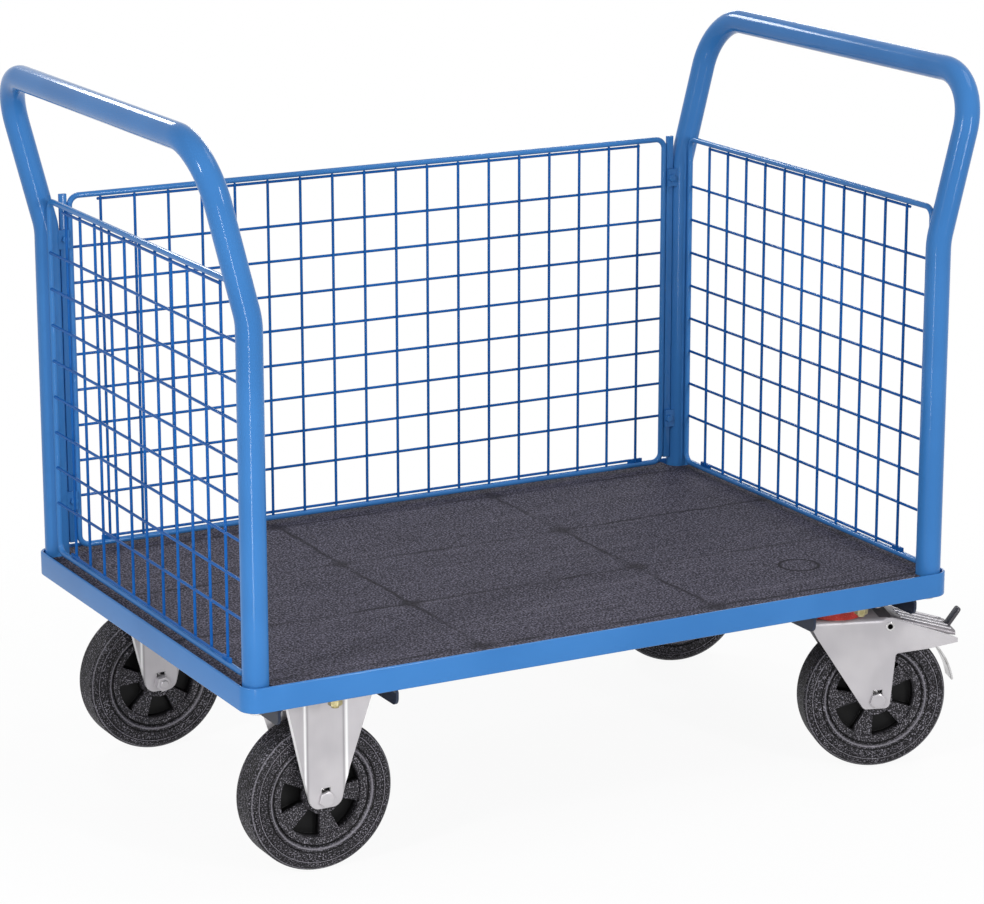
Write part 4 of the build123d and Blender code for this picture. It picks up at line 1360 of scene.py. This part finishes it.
@dataclass
class SwivelCaster:
    """Swivel fork with brake wings, its pedal and brake leaf, about the kingpin."""

    name: str
    place: Place
    outline: tuple[Pair, ...] = ((-42, 209.5), (-40, 209.5), (-29, 189), (36, 88), (72, 88), (79, 166), (128, 171),
                                 (166, 178))
    rounds: tuple[float, ...] = (0, 2, 6, 8, 8, 5, 30, 0)
    notch: Pair = (18.5, 27.0)
    notch_half: float = 7.0
    notch_room: float = 0.5
    crown_top: float = 217.0
    crown_front: float = 56.0
    opening: float = 14.0
    middle: float = 34.0
    sheet: float = 4.0
    bend: float = 5.0
    wing_tip: Pair = (166.0, 184.0)
    wing_root: float = 72.0
    race: Triple = (22.0, 33.0, 220.7)
    pivot: Pair = (70.0, 205.0)
    pin: float = 4.0
    collar: float = 6.5
    dimple: float = 3.6
    crest: Pair = (4.0, 13.0)
    pedal_half: float = 28.5
    pedal_wall: float = 3.0
    pedal_bend: float = 3.5
    pedal_slope: float = 16.0
    pedal_reach: float = 94.0
    pedal_heel: Pair = (-8.0, -6.0)
    pedal_lip: float = 7.5
    heel_fall: float = 0.625
    least_cheek: float = 4.2
    rib: float = 1.6
    tab_length: float = 26.0
    tab_root: float = 4.0
    tab_angle: float = 55.0
    tab_half: float = 8.0
    tab_wall: float = 5.0
    leaf_half: float = 15.0
    leaf_wall: float = 3.0
    leaf_radius: float = 102.1
    leaf_drop: float = 3.1
    leaf_arc: Pair = (10.0, 57.0)
    brake_travel: float = 6.0
    thin_edge: float = 0.7

    def fork(self) -> Shell:
        """Pressed fork: an arch over the wheel that opens into two wings.

        The lower edge is the leg's outline read as a height over the way along. Under the crown the sheet
        bends over to the other leg; past the crown the bend opens by a soft step into the upright wing.

        Returns:
            The open sheet, with a notch over the axle.
        """
        outline = rounded(self.outline, self.rounds, 8)
        along, low = outline[np.argsort(outline[:, 0], kind="stable")].T
        tip_x, tip_z = self.wing_tip
        left, right = LAYOUT.trail - self.notch_half, LAYOUT.trail + self.notch_half
        more = np.concatenate([np.linspace(self.crown_front, tip_x, 40), [left, right]])
        stations = np.unique(np.round(np.concatenate([along, more]), 2))
        low = np.interp(stations, along, low)
        share = np.clip((stations - self.wing_root) / (tip_x - self.wing_root), 0, 1)
        close = smooth_step(self.crown_front + self.opening, self.crown_front, stations)
        top = self.crown_top - share * (self.crown_top - tip_z) - self.sheet / 2 * close
        foot = low.min()
        full = self.crown_top - self.sheet / 2 - self.bend - foot
        rise = (0, 0.06, self.notch[0] / full, self.notch[1] / full, 0.35, 0.5, 0.65, 0.8, 0.9, 1)
        arch, wing = stations <= self.crown_front, stations >= self.crown_front
        halves = [folded_sheet(stations[part], low[part], top[part], self.middle, self.bend, closing, rise)
                  for part, closing in ((arch, None), (wing, np.minimum(close[wing], 0.999999)))]
        notch_low, notch_high = foot + self.notch[0] - self.notch_room, foot + self.notch[1] + self.notch_room
        return Shell.joined(halves).without((left, -FAR, notch_low), (right, FAR, notch_high))

    def pedal_line(self, along: float) -> float:
        """Height over the pivot of the pedal's slope: crest and half the sheet, less the slope's drop."""
        return self.crest[1] + self.pedal_wall / 2 - (along - self.crest[0]) * slope(self.pedal_slope)

    def pedal(self) -> Shell:
        """Pedal folded from sheet: a sloped top that crests over the pivot and cheeks at both sides.

        The top falls to the front by its slope and to the heel by its own, and half a millimetre of bell flattens
        the crest.

        Returns:
            The open sheet.
        """
        u, z = self.pivot
        at, crest = self.crest
        heel, heel_low = self.pedal_heel
        along = np.concatenate([np.linspace(heel, 0, 5), np.linspace(1, 8, 8), np.linspace(10, self.pedal_reach, 12)])
        past = along - at
        drop = np.where(past < 0, -past * self.heel_fall, past * slope(self.pedal_slope))
        top = crest - drop - self.pedal_wall / 2 - 0.5 * bells(along, 4.0, at)
        lip = self.pedal_line(self.pedal_reach) - self.pedal_lip
        low = np.interp(along, [heel, 10, self.pedal_reach], [heel_low, heel_low, lip])
        shell = folded_sheet(along, np.minimum(low, top - self.least_cheek), top, self.pedal_half, self.pedal_bend)
        return Shell(shell.points + (u, 0, z), shell.faces)

    def ribs(self) -> Shell:
        """Four long ribs pressed in the pedal's top, half sunk rods along its slope.

        Returns:
            One shell with all of them.
        """
        u, z = self.pivot
        starts, ends = (spots(u + along, evenly(4, 16.0), z + self.pedal_line(along) - self.rib)
                        for along in (16.0, self.pedal_reach - 5))
        return wires(starts, ends, self.rib, 10)

    def tab(self) -> Shell:
        """Release tab that stands up at the pedal's front edge, its corners rounded.

        Returns:
            The closed shell.
        """
        u, z = self.pivot
        c, s = cos_sin(self.tab_angle)
        outline = box_outline((-self.tab_half, -self.tab_root), (self.tab_half, self.tab_length), [0, 0, 5, 5], 8)
        nose = (u + self.pedal_reach, 0, z + self.pedal_line(self.pedal_reach))
        return Place(nose, ((0, 1, 0), (c, 0, s), (-s, 0, c))).put(plate(outline, 0.0, self.tab_wall, 1.2))

    def leaf(self) -> Shell:
        """Curved brake strip over the tread with its stem up to the pedal, a strip along one path.

        The strip is an arc about the axle turned back about the pivot by the brake's travel.

        Returns:
            The open sheet.
        """
        u, z = self.pivot
        c, s = cos_sin(self.brake_travel)
        x, y = LAYOUT.trail - u, LAYOUT.axle_z - z
        a = np.radians(np.linspace(*self.leaf_arc, 30))
        arc = (u + x * c - y * s, z + x * s + y * c) + self.leaf_radius * np.stack([np.cos(a), np.sin(a)], axis=1)
        end_x, end_z = arc[-1]
        under = z + self.pedal_line(end_x - u) - self.leaf_drop
        stem = np.column_stack([np.full(4, end_x), np.linspace(end_z + 2, under, 4)])
        path_x, path_z = np.vstack([arc, stem]).T[:, :, None]
        return Shell.grid(spots(path_x, np.linspace(-self.leaf_half, self.leaf_half, 3), path_z))

    def race_ring(self) -> Shell:
        """Lower ball race on the crown, a ring with rounded edges."""
        inner, outer, top = self.race
        return turned(box_outline((inner, self.crown_top - 1.0), (outer, top), [0, 0, 1.0, 1.0], 5), 72)

    def painted_shading_rivet(self) -> Shell:
        """Tubular pin of the pedal: at each end a rolled ring round a dimple with painted dark shade, turned about the
        pin's axis.

        Returns:
            The closed shell.
        """
        half, steps = self.middle + self.sheet / 2, 40
        section = rounded([(self.pin, 0), (self.pin, half - 0.4), (self.collar, half - 0.4), (self.collar, half + 0.8),
                           (self.dimple, half + 0.8), (self.dimple, half + 0.2), (0.1, half + 0.2)],
                          [0, 0, 0, 0.6, 0.2, 0, 0], 5)
        section = np.vstack([section[:0:-1] * (1, -1), section])
        shell = turned(section, steps, closed=False)
        # Painted dark shade in the dimples at both ends.
        sunk = (section[:, 0] < self.dimple + 0.15) & (np.abs(section[:, 1]) > half)
        shell.painted_shading = np.tile(sunk.astype(float), steps)
        u, z = self.pivot
        return ROOM.seat((u, 0, z), (0, 1, 0), shell)

    def build(self) -> None:
        """Build fork, race, rivet, pedal and leaf, and dress the plate, the balls and the axle's sleeve."""
        swivel, brake = f"{self.name}_swivel", f"{self.name}_brake"
        rows = (
            # The yoke's and the pedal's cut edges get the painted highlight.
            ("swivel_yoke", self.fork(), ZINC, "swivel_fork", swivel, self.sheet, BROKEN, EDGE_HIGHLIGHT),
            ("swivel_race", self.race_ring(), ZINC, "", swivel, 0.0, 0.0, None),
            ("brake_rivet", self.painted_shading_rivet(), STEEL, "brake_pin", swivel, 0.0, 0.0, None),
            # The pedal wears the darker zinc copy, painted shade.
            ("foot_pedal", self.pedal(), PEDAL, "brake_pedal", brake, self.pedal_wall, self.thin_edge, EDGE_HIGHLIGHT),
            ("pedal_ribs", self.ribs(), ZINC, "", brake, 0.0, 0.0, None),
            ("release_tab", self.tab(), TAB, "", brake, 0.0, 0.0, None),
            ("tread_leaf", self.leaf(), STEEL, "brake_leaf", brake, self.leaf_wall, self.thin_edge, None),
        )
        for name, shell, finish, node, body, sheet, bevel, cut in rows:
            stands_for = f"{self.name}_{node}" if node else ""
            add_piece(f"{self.name}_{name}", self.place.put(shell), finish, stands_for, body, sheet, bevel, cut=cut)
        for node, finish in {"plate": ZINC, "balls": STEEL, "axle_sleeve": STEEL}.items():
            dress_node(f"{swivel}_{node}", finish)


@dataclass
class Fasteners:
    """Axle bolts, channel bolts, post bolts and plate bolts with their nuts."""

    fork_half: float = 36.0
    axle: float = 12.0
    size: float = 10.0
    flats: float = 1.6
    head: float = 0.64
    low_head: float = 0.36
    nut: float = 0.9
    tip: float = 3.0
    washer: Pair = (0.78, 0.6)
    plate_holes: Pair = (52.5, 27.0)
    channel_seat: float = 243.0
    plate_seat: float = 237.0
    rail_seat: float = 247.0

    def bolt(self, size: float, head: float) -> Shell:
        """Hexagon bolt head with a thin washer face under it.

        Args:
            size: Thread size.
            head: Height of the head in thread sizes.

        Returns:
            The shell, seat at Z = 0.
        """
        reach, thick = self.washer
        washer = box_outline((0.2, 0), (reach * size, thick), [0, 0, 0.2, 0], 3)
        return Shell.joined([turned(washer, 40), hex_prism(self.flats * size, head * size)])

    def nut_and_tip(self, size: float) -> Shell:
        """Nut with the bolt's threaded tip standing out of it, seat at Z = 0."""
        height = self.nut * size
        return Shell.joined([hex_prism(self.flats * size, height), threaded(size / 2, height - 3, height + self.tip)])

    def axle_pair(self, end: End, side: Side) -> tuple[Shell, Shell]:
        """Head and nut of one axle bolt, the head outside.

        Args:
            end: End of the trolley.
            side: Side that the head is on.

        Returns:
            The head and the nut.
        """
        place, out = LAYOUT.wheel(end, side), side.value
        head = place.seat((0, out * self.fork_half, 0), (0, out, 0), self.bolt(self.axle, self.low_head))
        nut = place.seat((0, -out * self.fork_half, 0), (0, -out, 0), self.nut_and_tip(self.axle))
        return head, nut

    def build(self) -> None:
        """Build all fasteners and dress those that stay hidden."""
        heads, nuts = map(Shell.joined, zip(*(self.axle_pair(End.LEFT, side) for side in Side)))
        add_piece("fixed_axle_heads", heads, ZINC, "fixed_axle_bolts")
        add_piece("fixed_axle_locknuts", nuts, ZINC, "fixed_axle_nuts")
        for side in Side:
            name = side.name.lower()
            head, nut = self.axle_pair(End.RIGHT, side)
            add_piece(f"{name}_axle_head", head, ZINC, f"{name}_swivel_axle_bolt", f"{name}_swivel")
            add_piece(f"{name}_axle_locknut", nut, ZINC, f"{name}_swivel_axle_nut", f"{name}_swivel")
        signs = [(end.value, side.value) for end in End for side in Side]
        (x, y), (post_x, post_y), (hole_x, hole_y) = LAYOUT.caster_at, LAYOUT.post_at, self.plate_holes
        channels = [(sx * x, sy * post_y, self.channel_seat) for sx, sy in signs]
        plates = [(sx * x + hx * hole_x, sy * y + hy * hole_y, self.plate_seat)
                  for sx, sy in signs for hx, hy in signs]
        feet = [(sx * post_x, sy * post_y, self.rail_seat) for sx, sy in signs]
        nut, bolt = self.nut_and_tip(self.size), self.bolt(self.size, self.head)
        for name, places, shell, finish, node in (("rail_nuts", channels, nut, YELLOW, "channel_nuts"),
                                                  ("caster_nuts", plates, nut, ZINC, "plate_nuts"),
                                                  ("foot_bolts", feet, bolt, STEEL, "post_bolts")):
            hung = Shell.joined([ROOM.seat(place, (0, 0, -1), shell) for place in places])
            add_piece(name, hung, finish, node)
        for node, finish in {"channel_bolts": YELLOW, "plate_bolts": ZINC, "post_plugs": STEEL, "kingpins": STEEL,
                             "swivel_seals": SEAL, "fixed_axle_sleeves": STEEL}.items():
            dress_node(node, finish)


# Studio

def seen_rays(tree: Tree) -> Socket:
    """Find the rays that show the background: straight from the camera, in a gloss or through glass.

    Args:
        tree: Node tree to add to.

    Returns:
        Socket that is 1 for such rays.
    """
    rays = add_node(tree, "LightPath").node.outputs
    seen = rays["Is Camera Ray"]
    for name in ("Is Glossy Ray", "Is Transmission Ray"):
        seen = add_node(tree, "Math", {0: seen, 1: rays[name]}, operation="MAXIMUM")
    return seen


@dataclass(frozen=True)
class Softbox:
    """Rectangular lamp aimed at a point; sizes in metres, power in watts."""

    name: str
    place: Triple
    aim: Triple
    size: Pair
    power: float

    def build(self) -> None:
        """Add the lamp."""
        data = bpy.data.lights.new(self.name, "AREA")
        data.shape, data.energy = "RECTANGLE", self.power
        data.size, data.size_y = self.size
        lamp = bpy.data.objects.new(self.name, data)
        lamp.location = self.place
        lamp.rotation_euler = (Vector(self.aim) - Vector(self.place)).to_track_quat("-Z", "Y").to_euler()
        lamp.visible_camera = False
        bpy.context.scene.collection.objects.link(lamp)


@dataclass(frozen=True)
class Studio:
    """Pale floor, white surround, softboxes and the camera of the photograph, in metres and radians."""

    focal: float = 3513.4
    frame_width: float = 984.0
    sensor: float = 36.0
    yaw: float = 0.4970
    pitch: float = 0.2597
    roll: float = -0.0006
    eye: Triple = (-2.19894, -4.06437, 1.66111)
    floor_half: float = 2.6
    floor_fade: Pair = (0.7, 1.5)
    floor_white: float = 0.93
    ambient: float = 0.40
    lamps: tuple[Softbox, ...] = (
        Softbox("key_softbox", (-3.3, -1.4, 2.2), (0, 0, 0.4), (0.36, 0.8), 57.0),
        Softbox("front_softbox", (0.9, -3.2, 1.3), (0, 0, 0.4), (0.26, 1.3), 47.0),
        Softbox("top_softbox", (1.5, -0.5, 3.0), (0, 0, 0.3), (1.4, 1.0), 16.0),
        Softbox("back_softbox", (-0.15, 2.6, 2.25), (0, 0, 0.6), (0.66, 0.5), 21.0),
        Softbox("edge_card", (2.2, 3.0, 1.5), (0.2, -0.35, 0.28), (1.2, 0.22), 8.0),
        Softbox("low_card", (-1.0, -1.25, 0.29), (-0.52, -0.33, 0.5), (0.10, 0.48), 4.0),
    )

    def camera(self) -> None:
        """Camera at the photograph's place: forward from yaw and pitch, right and up turned by the roll."""
        data = bpy.data.cameras.new("camera")
        data.sensor_fit, data.sensor_width = "HORIZONTAL", self.sensor
        data.lens = self.focal / self.frame_width * self.sensor
        level = math.cos(self.pitch)
        ahead = Vector((math.sin(self.yaw) * level, math.cos(self.yaw) * level, -math.sin(self.pitch)))
        flat = Vector((math.cos(self.yaw), -math.sin(self.yaw), 0))
        rise = flat.cross(ahead)
        right = math.cos(self.roll) * flat + math.sin(self.roll) * rise
        up = -math.sin(self.roll) * flat + math.cos(self.roll) * rise
        turn = Matrix((right, up, -ahead)).transposed()
        camera = bpy.data.objects.new("camera", data)
        camera.matrix_world = Matrix.Translation(self.eye) @ turn.to_4x4()
        bpy.context.scene.collection.objects.link(camera)
        bpy.context.scene.camera = camera

    def floor(self) -> None:
        """Pale floor that fades into the white surround and is clear from below; white thins its shadow."""
        half, (near, far) = self.floor_half, self.floor_fade
        mesh = bpy.data.meshes.new("floor")
        mesh.from_pydata([(-half, -half, 0), (half, -half, 0), (half, half, 0), (-half, half, 0)], [], [(0, 1, 2, 3)])
        material = bpy.data.materials.new("pale_studio_floor")
        material.use_nodes = True
        tree = material.node_tree
        shader = tree.nodes["Principled BSDF"]
        set_inputs(tree, shader, {"Base Color": "#F7F7F7", "Roughness": 0.9, "Specular IOR Level": 0.1})
        place = add_node(tree, "TexCoord", output="Object")
        away = add_node(tree, "VectorMath", {0: place}, 1, operation="LENGTH")
        fade = add_node(tree, "MapRange", {0: away, 1: near, 2: far}, **SOFT)
        below = add_node(tree, "NewGeometry", output="Backfacing")
        gone = add_node(tree, "Math", {0: fade, 1: below}, operation="MAXIMUM")
        share = add_node(tree, "Math", {0: seen_rays(tree), 1: self.floor_white}, operation="MULTIPLY")
        white = add_node(tree, "Emission", {"Color": "#FFFFFF", "Strength": 1.0})
        thin = add_node(tree, "MixShader", {0: share, 1: shader.outputs[0], 2: white})
        mix = add_node(tree, "MixShader", {0: gone, 1: thin, 2: add_node(tree, "BsdfTransparent")})
        set_inputs(tree, tree.nodes["Material Output"], {"Surface": mix})
        mesh.materials.append(material)
        floor = bpy.data.objects.new("floor", mesh)
        bpy.context.scene.collection.objects.link(floor)

    def surround(self) -> None:
        """White world for the camera, gloss and glass, a plain level of ambient light for the rest."""
        world = bpy.data.worlds.new("studio")
        bpy.context.scene.world = world
        world.use_nodes = True
        tree = world.node_tree
        soft, white = (add_node(tree, "Background", {"Color": "#FFFFFF", "Strength": strength})
                       for strength in (self.ambient, 1.0))
        mix = add_node(tree, "MixShader", {0: seen_rays(tree), 1: soft, 2: white})
        set_inputs(tree, tree.nodes["World Output"], {"Surface": mix})

    def build(self) -> None:
        """Build floor, surround, lamps and camera."""
        bpy.context.scene.view_settings.view_transform = "Standard"
        self.floor()
        self.surround()
        for lamp in self.lamps:
            lamp.build()
        self.camera()


def main() -> None:
    """Light the scene and build the trolley in order, from the deck up and then the casters."""
    logging.basicConfig(level=logging.INFO, format="%(name)s: %(message)s")
    Studio().build()
    Deck().build()
    for end in End:
        PushBar(end).build()
    for end in End:
        out = end.value
        place = Place((out * LAYOUT.end_wall_x, 0, 0), ((0, -out, 0), (out, 0, 0), (0, 0, 1)))
        MeshWall(end.name.lower(), place, half=306.05, uprights=11).build()
    MeshWall("back", Place((0, LAYOUT.back_wall_y, 0)), half=469.95, uprights=18).build()
    BackWallFixing().build()
    for side, fixed_spin, swivel_spin in ((Side.FRONT, 68.0, 38.0), (Side.BACK, 25.0, 20.0)):
        name = side.name.lower()
        FixedFork(f"{name}_fixed", LAYOUT.caster(End.LEFT, side)).build()
        Wheel(f"{name}_fixed", LAYOUT.wheel(End.LEFT, side), fixed_spin).build()
        SwivelCaster(name, LAYOUT.caster(End.RIGHT, side)).build()
        Wheel(f"{name}_swivel", LAYOUT.wheel(End.RIGHT, side), swivel_spin).build()
    Fasteners().build()


if __name__ == "__main__":
    main()
